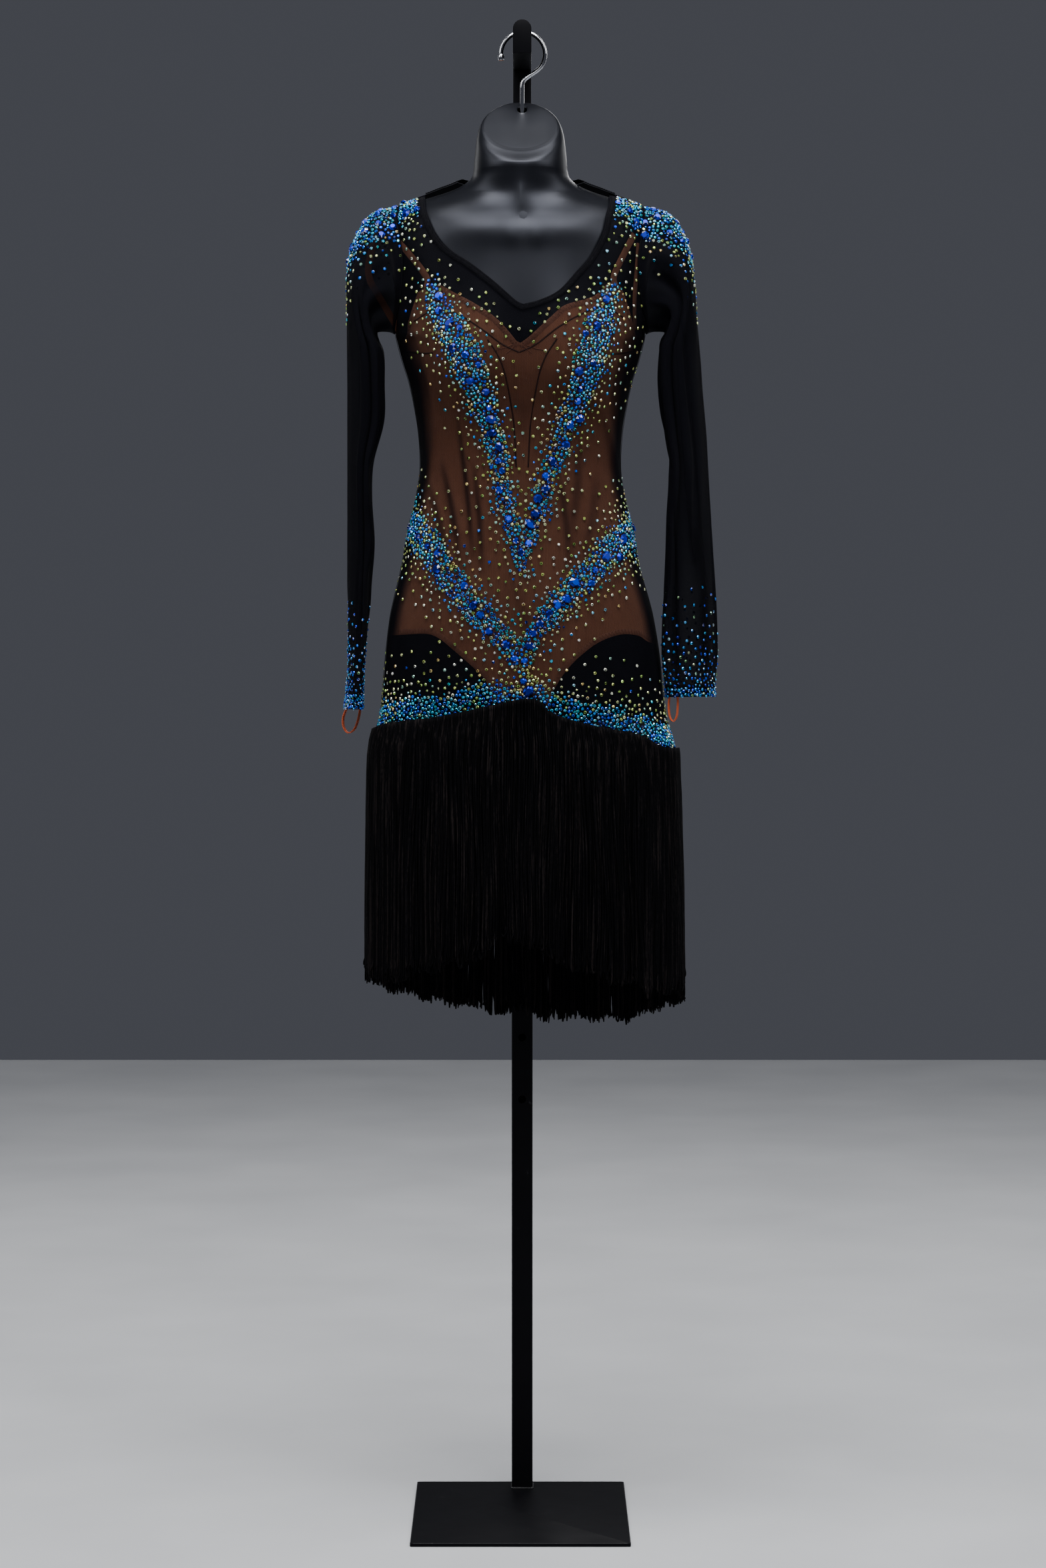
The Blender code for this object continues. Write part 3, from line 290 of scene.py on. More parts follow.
def along_paths(paths, radii, sides):
    """Round cords along paths: paths is (cords, points, 3), radii (cords, points) or one number."""
    paths = np.asarray(paths, float)
    count, steps = paths.shape[:2]
    travel = unit(np.gradient(paths, axis=1))
    least = np.eye(3)[np.abs(travel).mean(axis=1).argmin(axis=1)][:, None, :]
    across = unit(least - travel * (travel * least).sum(axis=2, keepdims=True))
    other = np.cross(travel, across)
    turn = np.arange(sides) * 2 * np.pi / sides
    reach = np.broadcast_to(np.asarray(radii, float), (count, steps))[:, :, None, None]
    ring = across[:, :, None] * np.cos(turn)[:, None] + other[:, :, None] * np.sin(turn)[:, None]
    points = paths[:, :, None] + ring * reach
    start = np.arange(count)[:, None, None] * steps * sides
    row = np.arange(steps - 1)[None, :, None] * sides
    k = np.arange(sides)[None, None, :]
    n = (k + 1) % sides
    quads = np.stack([start + row + k, start + row + n, start + row + sides + n,
                      start + row + sides + k], axis=-1).reshape(-1, 4)
    ends = [start[:, 0] + np.arange(sides)[::-1], start[:, 0] + (steps - 1) * sides + np.arange(sides)]
    return points.reshape(-1, 3), list(quads) + list(np.concatenate(ends))


def cord_mesh(paths, radii, sides):
    return mesh_of(*along_paths(paths, radii, sides))


low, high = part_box("base_plate")
work = bmesh.new()
bmesh.ops.create_cube(work, size=1.0)
bmesh.ops.scale(work, verts=work.verts, vec=high - low)
bmesh.ops.translate(work, verts=work.verts, vec=(low + high) / 2)
rounded(work, PLATE_CORNER, 4, axis=2, across=False)
rounded(work, COAT_CHIP, 2, axis=2)
add_coated("plate", from_bmesh(work), ["base_plate"])
rim = [(x * (high.x - 0.0006), y * (high.y - 0.0006)) for x, y in ((-1, -1), (1, -1), (1, 1), (-1, 1))]
worn_edges = [[(ax + (bx - ax) * t, ay + (by - ay) * t, high.z - 0.0003)
               for t in np.linspace(0.012, 0.988, 40)]
              for (ax, ay), (bx, by) in zip(rim, rim[1:] + rim[:1])]
add_coated("plate_edge", cord_mesh(worn_edges, WORN_EDGE_RADIUS, 6), finish=chipped_coat)

low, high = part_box("outer_tube")
post_x, post_y, post_side = (low.x + high.x) / 2, (low.y + high.y) / 2, high.x - low.x
add_coated("post_tube", square_tube(post_x, post_y, post_side, POST_WALL, low.z, high.z), ["outer_tube"])
foot = [(post_x + u, post_y + v, low.z + 0.0003)
        for u, v in square_outline(post_side / 2 + 0.0002, TUBE_CORNER, 6)]
foot += foot[:1]
bead = [WELD_RADIUS * (1 + 0.25 * math.sin(2.3 * i)) for i in range(len(foot))]
add_coated("weld_bead", cord_mesh([foot], [bead], 8), finish=chipped_coat)

# Two round holes in the front of the tube, for the pin that sets its height. Each is a rim round a flat
# near-black disc that paints the shade inside the hole, not a cut hole.
for number, z in enumerate(PIN_HOLES, 1):
    rim = [(post_x + PIN_HOLE_RADIUS * math.cos(a), low.y, z + PIN_HOLE_RADIUS * math.sin(a))
           for a in np.linspace(0, 2 * math.pi, 33)]
    add_coated(f"pin_hole_rim_{number}", cord_mesh([rim], HOLE_EDGE_RADIUS, 6))
    hole_shade_disc = [(post_x, low.y + 0.0004, z), (post_x, low.y - 0.0001, z)]
    add_coated(f"pin_hole_{number}", cord_mesh([hole_shade_disc], PIN_HOLE_RADIUS, 32), finish=hole_shade_black)

low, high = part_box("inner_tube")
add_coated("mast_tube", square_tube(post_x, post_y, high.x - low.x, MAST_WALL, low.z, high.z),
           ["inner_tube"], "mast")
low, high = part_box("support_arm")
add_coated("arm_tube", square_tube(post_x, (low.z + high.z) / 2, high.x - low.x, MAST_WALL, low.y, high.y,
                                   lying=True), ["support_arm"], "mast")
low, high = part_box("arm_stop")
half = (high.x - low.x) / 2
profile = [(-half, low.z), (half, low.z), (half, high.z - half)]
profile += [(half * math.cos(a), high.z - half + half * math.sin(a))
            for a in np.linspace(0, math.pi, 25)[1:-1]] + [(-half, high.z - half)]
work = bmesh.new()
face = work.faces.new([work.verts.new((post_x + x, high.y, z)) for x, z in profile])
moved = bmesh.ops.extrude_face_region(work, geom=[face])["geom"]
bmesh.ops.translate(work, verts=[item for item in moved if isinstance(item, bmesh.types.BMVert)],
                    vec=(0, low.y - high.y, 0))
rounded(work, COAT_CHIP, 2, axis=1)
add_coated("end_plate", from_bmesh(work), ["arm_stop"], "mast", sharp=30)

low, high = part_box("clamp_screw")
around = np.linspace(0, 2 * np.pi, 72, endpoint=False)
loops = []
for depth, share, flute in KNOB_ROWS + [(high.y - low.y, 0.249, 0)]:
    reach = (high.x - low.x) / 2 * share * (1 - flute * np.cos(KNOB_FLUTES * around).clip(0))
    loops.append(np.stack([post_x + reach * np.cos(around), np.full(72, high.y - depth),
                           (low.z + high.z) / 2 + reach * np.sin(around)], -1))
work = bmesh.new()
work.from_mesh(lofted(loops, closed=False))
bmesh.ops.holes_fill(work, edges=work.edges)
add_coated("clamp_knob", from_bmesh(work), ["clamp_screw"])

# ---------------------------------------------------------------- hook
# A question mark of chromed 5 mm wire that hangs over the arm. Its stem goes down through the cap of
# the neck and ends in a nut under the seat, and its free end has a small collar, cut bare.

WIRE_RADIUS = 0.0025
STEM_TOP = 1.700
BEND_FROM, BEND_REACH = math.radians(-38), 0.030
HOOK_END = math.radians(184)
# distance along the collar, radius
COLLAR = [(-0.0015, 0.0026), (-0.0004, 0.0033), (0.0006, 0.0036), (0.0045, 0.0036), (0.0056, 0.0032)]
CUT_END = [(0.0056, 0.0032), (0.0059, 0.0024), (0.0060, 0.0001)]

chrome = new_finish("chrome", (0.60, 0.61, 0.64), 0.06, Metallic=1.0)
onto_shader(chrome, Roughness=mottled(chrome, [(0.35, 0.04), (0.7, 0.10)], 160.0, 5.0, 0.6),
            Normal=relief(chrome, grain(chrome, 400.0, 2.0), 0.000003))
bare_end = new_finish("bare_wire_end", (0.50, 0.22, 0.12), 0.35, Metallic=1.0)
onto_shader(bare_end, Base_Color=mottled(bare_end, [(0.35, (0.42, 0.16, 0.08)),
                                                    (0.7, (0.62, 0.34, 0.22))], 900.0))

low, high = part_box("swivel_hook")
hook_y = (low.y + high.y) / 2
loop_radius = (high.x - low.x) / 2 - WIRE_RADIUS
loop_x, loop_z = (low.x + high.x) / 2, high.z - WIRE_RADIUS - loop_radius
hook_x = sum(corner.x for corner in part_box("hook_nut")) / 2


def eased(start, leaving, end, arriving, t):
    """Curve from a start to an end, with the ways it leaves and arrives; t runs from 0 to 1."""
    return ((1 + 2 * t) * (1 - t) ** 2 * start + t * (1 - t) ** 2 * leaving
            + t * t * (3 - 2 * t) * end + t * t * (t - 1) * arriving)


def on_loop(angle):
    return np.array([loop_x + loop_radius * math.cos(angle), hook_y,
                     loop_z + loop_radius * math.sin(angle)])


def turned_on(start, way, rows, steps=28):
    """Turned shape along a way from a start: rows of (distance, radius)."""
    return cord_mesh([[start + way * along for along, _ in rows]], [[radius for _, radius in rows]], steps)


stem = [np.array([hook_x, hook_y, z]) for z in np.linspace(low.z, STEM_TOP, 12)]
onto_loop = BEND_REACH * np.array([-math.sin(BEND_FROM), 0, math.cos(BEND_FROM)])
bend = [eased(stem[-1], np.array([0, 0, BEND_REACH]), on_loop(BEND_FROM), onto_loop, t)
        for t in np.linspace(0, 1, 18)[1:-1]]
hook_line = stem + bend + [on_loop(a) for a in np.linspace(BEND_FROM, HOOK_END, 64)]
wire_end, heading = hook_line[-1], unit(hook_line[-1] - hook_line[-2])
for name, mesh, finish, nodes in (
        ("hook_wire", cord_mesh([hook_line], WIRE_RADIUS, 20), chrome, ["swivel_hook"]),
        ("hook_collar", turned_on(wire_end, heading, COLLAR), chrome, ["hook_tip"]),
        ("hook_cut_end", turned_on(wire_end, heading, CUT_END), bare_end, [])):
    add_piece(name, mesh, finish, "mast", nodes)
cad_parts["hook_nut"].material_slots[0].material = chrome

# ---------------------------------------------------------------- form
# A hollow torso moulded in satin black plastic, open below, with no arms or legs. The neck ends in
# an oval cap that leans back, with a rounded rim and a hole for the hook. The collarbones and the
# notch between them are moulded in.

# z, half width, shift, front, back, y of the widest line, power of the oval
FIGURE = [
    (0.84, 0.179, 0.004, -0.102, 0.093, 0.0, 2.3), (0.885, 0.178, 0.004, -0.102, 0.092, 0.0, 2.3),
    (0.912, 0.177, 0.0035, -0.101, 0.091, 0.0, 2.3), (0.945, 0.1685, 0.003, -0.096, 0.087, 0.0, 2.3),
    (0.966, 0.165, 0.003, -0.095, 0.087, 0.0, 2.3), (1.021, 0.16, 0.0025, -0.096, 0.088, 0.0, 2.3),
    (1.067, 0.1535, 0.0015, -0.095, 0.086, 0.0, 2.3), (1.091, 0.148, 0.001, -0.094, 0.083, 0.0, 2.3),
    (1.129, 0.138, 0.0, -0.091, 0.078, 0.0, 2.3), (1.165, 0.132, 0.0, -0.088, 0.072, 0.0, 2.3),
    (1.206, 0.122, 0.0, -0.084, 0.067, 0.0, 2.3), (1.242, 0.1165, 0.0, -0.082, 0.065, 0.0, 2.3),
    (1.283, 0.118, 0.0, -0.083, 0.068, 0.0, 2.3), (1.316, 0.123, 0.0, -0.085, 0.073, 0.0, 2.3),
    (1.348, 0.13, 0.0, -0.089, 0.078, 0.0, 2.3), (1.373, 0.138, 0.0, -0.092, 0.082, 0.0, 2.3),
    (1.404, 0.1455, 0.0, -0.0955, 0.085, 0.0, 2.3), (1.45, 0.149, 0.0, -0.0965, 0.088, 0.0, 2.2),
    (1.5, 0.156, 0.0, -0.093, 0.086, 0.0, 2.0), (1.52, 0.159, 0.0, -0.0908, 0.082, 0.0, 1.85),
    (1.535, 0.16, 0.0, -0.0879, 0.077, 0.0, 1.7), (1.545, 0.156, 0.0, -0.085, 0.072, 0.0, 1.55),
    (1.553, 0.146, 0.0, -0.0828, 0.066, -0.002, 1.4), (1.56, 0.127, 0.0, -0.0813, 0.06, -0.004, 1.3),
    (1.566, 0.105, 0.0, -0.0802, 0.054, -0.007, 1.3), (1.5715, 0.086, 0.0, -0.0792, 0.048, -0.01, 1.45),
    (1.577, 0.0715, 0.0, -0.0786, 0.042, -0.014, 1.65), (1.586, 0.059, 0.0, -0.0787, 0.036, -0.019, 1.9),
    (1.595, 0.0555, 0.0, -0.0792, 0.034, -0.022, 2.0),
]
BUST_X, BUST_Z, BUST_DEPTH, BUST_WIDTH, BUST_ABOVE, BUST_BELOW = 0.068, 1.362, 0.026, 0.040, 0.052, 0.036
FORM_BOTTOM, FORM_WALL = 0.945, 0.0025
# Ovals up the neck cap: order, z of the middle, slope, half width, half depth, y of the middle
CAP = [
    (0, 1.595, 0.0, 0.0555, 0.0566, -0.0226), (0.5, 1.6047, 0.125, 0.055, 0.0565, -0.0226),
    (1, 1.6156, 0.274, 0.054, 0.0557, -0.0226), (2, 1.6349, 0.6, 0.0515, 0.0513, -0.023),
    (3, 1.6456, 0.787, 0.0475, 0.043, -0.0225), (4, 1.6487, 0.853, 0.0438, 0.0387, -0.0223),
    (4.4, 1.6492, 0.86, 0.042, 0.0368, -0.022), (5, 1.6493, 0.86, 0.0402, 0.0352, -0.022),
]
CAP_HOLE = 0.0060
# Moulded relief of the chest: middle x, middle z, reach in x, reach in z, height; both sides alike
COLLARBONES = [(0.062, 1.519, 0.032, 0.009, 0.0011), (0.028, 1.514, 0.018, 0.009, 0.0009),
               (0.056, 1.539, 0.026, 0.0085, -0.0015), (0.013, 1.513, 0.0065, 0.009, 0.0014),
               (0.048, 1.558, 0.014, 0.011, 0.0026)]
COLLARBONE_MIDDLE, COLLARBONE_END, COLLARBONE_FADE = 0.0035, 0.112, 0.020
NOTCH = (0.0035, 1.5370, 0.0080, 0.0085, -0.0030)

form_black = new_finish("form_black", (0.002, 0.0022, 0.0032), 0.37, Specular_IOR_Level=0.32,
                        Specular_Tint=(0.80, 0.84, 1.0, 1.0))
onto_shader(form_black, Roughness=mottled(form_black, [(0.3, 0.34), (0.75, 0.41)], 9.0, 6.0, 0.6),
            Base_Color=mottled(form_black, [(0.3, (0.0015, 0.0017, 0.0026)), (0.8, (0.003, 0.0033, 0.0048))],
                               30.0, 6.0, 0.7),
            Normal=relief(form_black, grain(form_black, 1500.0, 2.0), 0.000035))


def smooth_rows(table, at):
    """Rows of a table on a smooth curve, at places along its first column."""
    table, at = np.asarray(table, float), np.asarray(at, float)
    count = len(table)
    above = table[np.minimum(np.arange(count) + 1, count - 1)]
    below = table[np.maximum(np.arange(count) - 1, 0)]
    slopes = (above - below) / (above[:, :1] - below[:, :1])
    clipped = np.clip(at, table[0, 0], table[-1, 0])
    upper = np.clip(np.searchsorted(table[:, 0], clipped, side="right"), 1, count - 1)
    lower = upper - 1
    span = (table[upper, 0] - table[lower, 0])[..., None]
    t = (clipped[..., None] - table[lower, :1]) / span
    return eased(table[lower], span * slopes[lower], table[upper], span * slopes[upper], t)


def figure(z, angle):
    """Points of the figure: angle 0 is the wearer's left side, a quarter turn the front."""
    z, angle = np.broadcast_arrays(np.asarray(z, float), np.asarray(angle, float))
    _, wide, shift, front, back, middle, power = np.moveaxis(smooth_rows(FIGURE, z), -1, 0)
    c, s = np.cos(angle), np.sin(angle)
    x = wide * np.sign(c) * np.abs(c) ** (2 / power)
    rise = np.abs(s) ** (2 / power)
    y = middle + np.where(s >= 0, front - middle, back - middle) * rise
    up = np.exp(-((z - BUST_Z) / np.where(z > BUST_Z, BUST_ABOVE, BUST_BELOW)) ** 2 / 2)
    sides = sum(np.exp(-((x - side * BUST_X) / BUST_WIDTH) ** 2 / 2) for side in (-1, 1))
    y = y - np.where(s >= 0, BUST_DEPTH * up * sides * np.minimum(1, 1.6 * rise), 0)
    return np.stack([shift + x, y, z], -1)


def outwards(z, angle):
    """Direction straight out of the figure."""
    around = figure(z, angle + 0.012) - figure(z, angle - 0.012)
    rise = figure(z + 0.0015, angle) - figure(z - 0.0015, angle)
    return unit(np.cross(rise, around))


def swelling(x, z, middle_x, middle_z, reach_x, reach_z, height):
    return height * np.exp(-((x - middle_x) / reach_x) ** 2 / 2 - ((z - middle_z) / reach_z) ** 2 / 2)


def bones(x, z):
    """Height of the moulded relief of the chest."""
    aside = np.abs(x - COLLARBONE_MIDDLE)
    height = sum(swelling(aside, z, *bone) for bone in COLLARBONES) + swelling(x, z, *NOTCH)
    return height * np.clip((COLLARBONE_END - aside) / COLLARBONE_FADE, 0, 1)


def cap_loop(row, inset=0.0, drop=0.0):
    _, z_middle, slope, half_width, half_depth, y_middle = row
    y = -(half_depth - inset) * np.sin(form_turn)
    return np.stack([(half_width - inset) * np.cos(form_turn), y_middle + y, z_middle + slope * y - drop], -1)


def cap_disc(share, drop=0.0, inset=0.0):
    """Loop on the flat of the cap: share 0 is its edge, 1 the edge of the hole."""
    _, z_middle, slope, _, _, y_middle = CAP[-1]
    edge = cap_loop(CAP[-1], inset)
    x = edge[:, 0] * (1 - share) + (hook_x + CAP_HOLE * np.cos(form_turn)) * share
    y = edge[:, 1] * (1 - share) + (hook_y - CAP_HOLE * np.sin(form_turn)) * share
    return np.stack([x, y, z_middle + slope * (y - y_middle) - drop], -1)


form_turn = np.linspace(0, 2 * np.pi, 144, endpoint=False)
z = np.concatenate([np.arange(FORM_BOTTOM, 1.40, 0.008), np.arange(1.40, 1.5949, 0.0022)])[:, None]
body = figure(z, form_turn)
moulded = bones(body[..., 0], body[..., 2]) * np.clip(np.sin(form_turn) * 3, 0, 1)
form_loops = list(body + outwards(z, form_turn) * moulded[..., None])
cap_rows = smooth_rows(CAP, np.concatenate([np.linspace(0, 3, 25), np.linspace(3.1, 5, 16)]))
form_loops += [cap_loop(row) for row in cap_rows]
form_loops += [cap_disc(share) for share in (0.2, 0.4, 0.6, 0.8, 0.93, 0.975)]
form_loops += [cap_disc(1.0, 0.0006), cap_disc(1.0, FORM_WALL)]
form_loops += [cap_disc(share, FORM_WALL, 0.001) for share in (0.7, 0.3, 0.0)]
form_loops += [cap_loop(row, FORM_WALL, FORM_WALL * 0.6) for row in CAP[4::-1]]
for z in [*np.arange(1.585, FORM_BOTTOM, -0.010), FORM_BOTTOM]:
    form_loops.append(figure(z, form_turn) - outwards(z, form_turn) * FORM_WALL)
add_piece("torso_form", lofted(form_loops), form_black, "form", ["form_shell"], sharp=50)
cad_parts["hook_seat"].material_slots[0].material = form_black

# ---------------------------------------------------------------- bodysuit
# A brown stretch-jersey bodysuit under the dress: a sweetheart front, a low back, high legs and thin
# shoulder straps. Its edges are turned over elastic and held with zigzag stitches, and the cups have
# a curved seam each. It is stretched smooth over the form.

BODYSUIT_OUT = 0.0010
ELASTIC_WIDTH, STRAP_WIDTH, SUIT_SEAM_WIDTH = 0.0065, 0.0084, 0.0019
STITCH_RADIUS, ZIGZAG_PITCH, GATHER_RADIUS = 0.00022, 0.0042, 0.0006
CLOTH_STEP = 0.0036
# Outlines as (x, z) seen from the front, in runs that meet in corners
SUIT_SIDE_RIGHT = [(-0.2, 1.374), (-0.146, 1.385), (-0.1331, 1.3985), (-0.1305, 1.415),
                   (-0.1193, 1.4486)]
SUIT_CUP_RIGHT = [(-0.1193, 1.4486), (-0.0996, 1.4566), (-0.0729, 1.443), (-0.0465, 1.4276),
                  (-0.0249, 1.4113), (-0.0016, 1.3847)]
SUIT_CUP_LEFT = [(-0.0016, 1.3847), (0.0123, 1.395), (0.0363, 1.4168), (0.0525, 1.43), (0.0843, 1.4408),
                 (0.103, 1.459)]
SUIT_SIDE_LEFT = [(0.103, 1.459), (0.117, 1.453), (0.129, 1.42), (0.136, 1.396), (0.146, 1.385),
                  (0.2, 1.374)]
SUIT_LEG_LEFT = [(0.2, 1.03), (0.1548, 1.037), (0.139, 1.0455), (0.1167, 1.047), (0.09, 1.0374),
                 (0.0658, 1.0188), (0.0495, 1.0002), (0.037, 0.98), (0.032, 0.9)]
SUIT_LEG_RIGHT = [(-0.031, 0.9), (-0.034, 0.978), (-0.0412, 0.9948), (-0.057, 1.011), (-0.0785, 1.0297),
                  (-0.095, 1.0428), (-0.111, 1.048), (-0.1433, 1.0464), (-0.2, 1.043)]
SUIT_BACK_TOP = [(-0.2, 1.374), (-0.146, 1.385), (-0.1, 1.378), (-0.05, 1.352), (0.0, 1.343),
                 (0.05, 1.352), (0.1, 1.378), (0.146, 1.385), (0.2, 1.374)]
SUIT_SEAT_LEFT = [(0.2, 1.03), (0.1548, 1.037), (0.125, 1.02), (0.09, 0.99), (0.055, 0.965),
                  (0.033, 0.95), (0.032, 0.9)]
SUIT_SEAT_RIGHT = [(-0.031, 0.9), (-0.032, 0.95), (-0.055, 0.965), (-0.09, 0.99), (-0.125, 1.022),
                   (-0.1433, 1.0464), (-0.2, 1.043)]
# The seam of each cup, then the darts of the front, from the bust down to the waist and hip
SUIT_SEAMS = [
    [(-0.124, 1.415), (-0.096, 1.428), (-0.07, 1.419), (-0.043, 1.401), (-0.021, 1.385),
     (-0.0016, 1.376)],
    [(-0.0016, 1.376), (0.018, 1.385), (0.043, 1.404), (0.07, 1.42), (0.096, 1.43), (0.12, 1.419)],
    [(-0.0374, 1.3897), (-0.0257, 1.3719), (-0.018, 1.3532), (-0.0133, 1.3331), (-0.0094, 1.3121),
     (-0.0063, 1.2888), (-0.004, 1.2423)],
    [(0.0434, 1.3897), (0.0317, 1.3719), (0.024, 1.3532), (0.0193, 1.3331), (0.0154, 1.3121),
     (0.0123, 1.2888), (0.01, 1.2423)],
    [(-0.061, 1.242), (-0.0605, 1.215), (-0.059, 1.19), (-0.057, 1.165)],
    [(0.056, 1.205), (0.0565, 1.185), (0.0565, 1.165), (0.056, 1.15)],
    [(-0.142, 1.383), (-0.128, 1.38), (-0.113, 1.377), (-0.101, 1.3765)],
    [(0.142, 1.382), (0.13, 1.379), (0.116, 1.375), (0.105, 1.3735)],
]
# Straps: piece, CAD node, middle line as (x, z)
STRAPS = [
    ("shoulder_strap_right", "strap_front_right",
     [(-0.1095, 1.4528), (-0.1098, 1.466), (-0.134, 1.499), (-0.1565, 1.5245)]),
    ("shoulder_strap_left", "strap_front_left",
     [(0.11, 1.456), (0.109, 1.4675), (0.122, 1.496), (0.133, 1.5175)]),
    ("side_strap_left", "strap_side_left",
     [(0.1338, 1.405), (0.1332, 1.44), (0.136, 1.475), (0.1385, 1.5075)]),
]
# The strap that hangs loose: its middle line, and its outline in widths and in half thicknesses
SUIT_LOOSE_STRAP = [(-0.165, 0.002, 1.537), (-0.1745, 0.005, 1.512), (-0.181, 0.007, 1.486),
                    (-0.179, 0.009, 1.468), (-0.17, 0.011, 1.452), (-0.159, 0.012, 1.433),
                    (-0.15, 0.012, 1.418), (-0.1455, 0.012, 1.411), (-0.1444, 0.012, 1.404),
                    (-0.142, 0.012, 1.394), (-0.1399, 0.012, 1.3855)]
STRAP_HALF_THICKNESS = 0.0003
STRAP_OUTLINE = [(-0.5, -1), (-0.47, -1.6), (0.47, -1.6), (0.5, -1), (0.5, 1), (0.47, 1.6), (-0.47, 1.6),
                 (-0.5, 1)]
# Creases where the cloth is pulled: from x, z to x, z, half width, height
CREASES_FRONT = [(-0.07, 1.3, -0.053, 1.14, 0.0034, 0.0036), (-0.052, 1.25, -0.042, 1.12, 0.0036, 0.003),
                 (-0.088, 1.25, -0.068, 1.13, 0.0044, 0.003),
                 (-0.104, 1.225, -0.08, 1.12, 0.004, 0.0022), (0.046, 1.24, 0.058, 1.13, 0.0036, 0.0026),
                 (0.07, 1.28, 0.06, 1.16, 0.0044, 0.0022), (0.09, 1.24, 0.074, 1.13, 0.0044, 0.0018),
                 (-0.1, 1.3, -0.11, 1.23, 0.005, 0.002), (0.098, 1.305, 0.11, 1.225, 0.005, 0.002),
                 (-0.086, 1.492, -0.1, 1.448, 0.005, 0.0014),
                 (-0.07, 1.478, -0.078, 1.44, 0.0045, 0.001),
                 (-0.116, 1.5, -0.128, 1.455, 0.005, 0.0016), (0.088, 1.486, 0.08, 1.448, 0.005, 0.0014),
                 (0.104, 1.5, 0.098, 1.462, 0.0045, 0.0012),
                 (-0.146, 1.402, -0.104, 1.394, 0.0045, 0.0017),
                 (0.146, 1.4, 0.112, 1.392, 0.0045, 0.0015),
                 (-0.14, 1.418, -0.116, 1.426, 0.0045, 0.0012),
                 (-0.03, 1.432, 0.03, 1.424, 0.006, 0.001), (-0.01, 1.12, 0.012, 1.03, 0.007, 0.0009),
                 (-0.09, 1.0, -0.06, 0.975, 0.006, 0.001), (0.1, 1.01, 0.128, 0.985, 0.006, 0.001),
                 (-0.12, 1.115, -0.085, 1.09, 0.006, 0.001), (0.088, 1.1, 0.124, 1.122, 0.006, 0.0011),
                 (0.0, 1.33, 0.004, 1.29, 0.008, 0.001)]
CREASES_BACK = [(-0.09, 1.235, 0.02, 1.246, 0.006, 0.0024), (-0.04, 1.212, 0.094, 1.222, 0.006, 0.0021),
                (-0.078, 1.262, 0.06, 1.268, 0.007, 0.0018), (-0.102, 1.19, -0.03, 1.182, 0.006, 0.0015),
                (0.05, 1.19, 0.112, 1.198, 0.0065, 0.0016), (-0.12, 1.43, -0.07, 1.4, 0.0055, 0.0018),
                (0.122, 1.428, 0.076, 1.396, 0.0055, 0.0017), (-0.05, 1.56, -0.082, 1.5, 0.006, 0.0012),
                (0.056, 1.562, 0.08, 1.502, 0.006, 0.0013), (-0.1, 1.01, -0.05, 0.96, 0.007, 0.0012),
                (0.106, 1.004, 0.06, 0.95, 0.007, 0.0012), (0.0, 1.1, 0.003, 0.99, 0.008, 0.001)]

brown_jersey = new_finish("brown_jersey", (0.330, 0.120, 0.058), 0.78, Sheen_Weight=0.15,
                          Specular_IOR_Level=0.25)
knit = put(brown_jersey, "TexWave", {"Vector": put(brown_jersey, "UVMap").outputs["UV"], "Scale": 160.0,
                                     "Distortion": 1.2, "Detail": 2.0}, bands_direction="X").outputs["Fac"]
slubs = relief(brown_jersey, grain(brown_jersey, 60.0), 0.0006)
onto_shader(brown_jersey, Normal=relief(brown_jersey, knit, 0.00012, slubs),
            Base_Color=mottled(brown_jersey, [(0.25, (0.390, 0.146, 0.074)), (0.75, (0.510, 0.205, 0.110))],
                               22.0, 5.0, 0.6))
brown_trim = new_finish("brown_trim", (0.360, 0.135, 0.070), 0.7, Sheen_Weight=0.15)
onto_shader(brown_trim, Normal=relief(brown_trim, grain(brown_trim, 900.0, 2.0), 0.0002),
            Base_Color=mottled(brown_trim, [(0.3, (0.320, 0.115, 0.058)), (0.7, (0.420, 0.165, 0.088))],
                               70.0, 4.0))
# The seams and darts are real, but their much darker brown is painted shade of the folds along them.
brown_seam_shade = new_finish("brown_seam_shade", (0.090, 0.030, 0.015), 0.8)
onto_shader(brown_seam_shade, Base_Color=mottled(brown_seam_shade, [(0.3, (0.060, 0.020, 0.010)),
                                                        (0.7, (0.120, 0.042, 0.021))], 300.0))


def smoothed(points, steps=8):
    """Smooth curve through points of two or three numbers."""
    order = np.column_stack([np.arange(len(points)), np.asarray(points, float)])
    return smooth_rows(order, np.linspace(0, len(points) - 1, (len(points) - 1) * steps + 1))[:, 1:]


def inside(*runs):
    """Measures how far points lie inside the outline made of these runs; outside it is negative."""
    a = np.concatenate([smoothed(run) if len(run) > 2 else np.array(run, float) for run in runs])
    b = np.roll(a, -1, axis=0)
    keep = np.linalg.norm(b - a, axis=1) > 1e-9
    a, ab = a[keep], (b - a)[keep]
    rise = np.where(np.abs(ab[:, 1]) < 1e-12, 1e-12, ab[:, 1])

    def measure(points):
        far, crossed = np.full(len(points), 9.0), np.zeros(len(points), int)
        for start, way, up in zip(a, ab, rise):
            from_start = points[:, [0, 2]] - start
            t = np.clip(from_start @ way / (way @ way), 0, 1)
            far = np.minimum(far, np.linalg.norm(from_start - t[:, None] * way, axis=1))
            between = (from_start[:, 1] < 0) != (from_start[:, 1] < way[1])
            crossed += between & (from_start[:, 0] < way[0] * from_start[:, 1] / up)
        return np.where(crossed % 2 == 1, far, -far)

    return measure


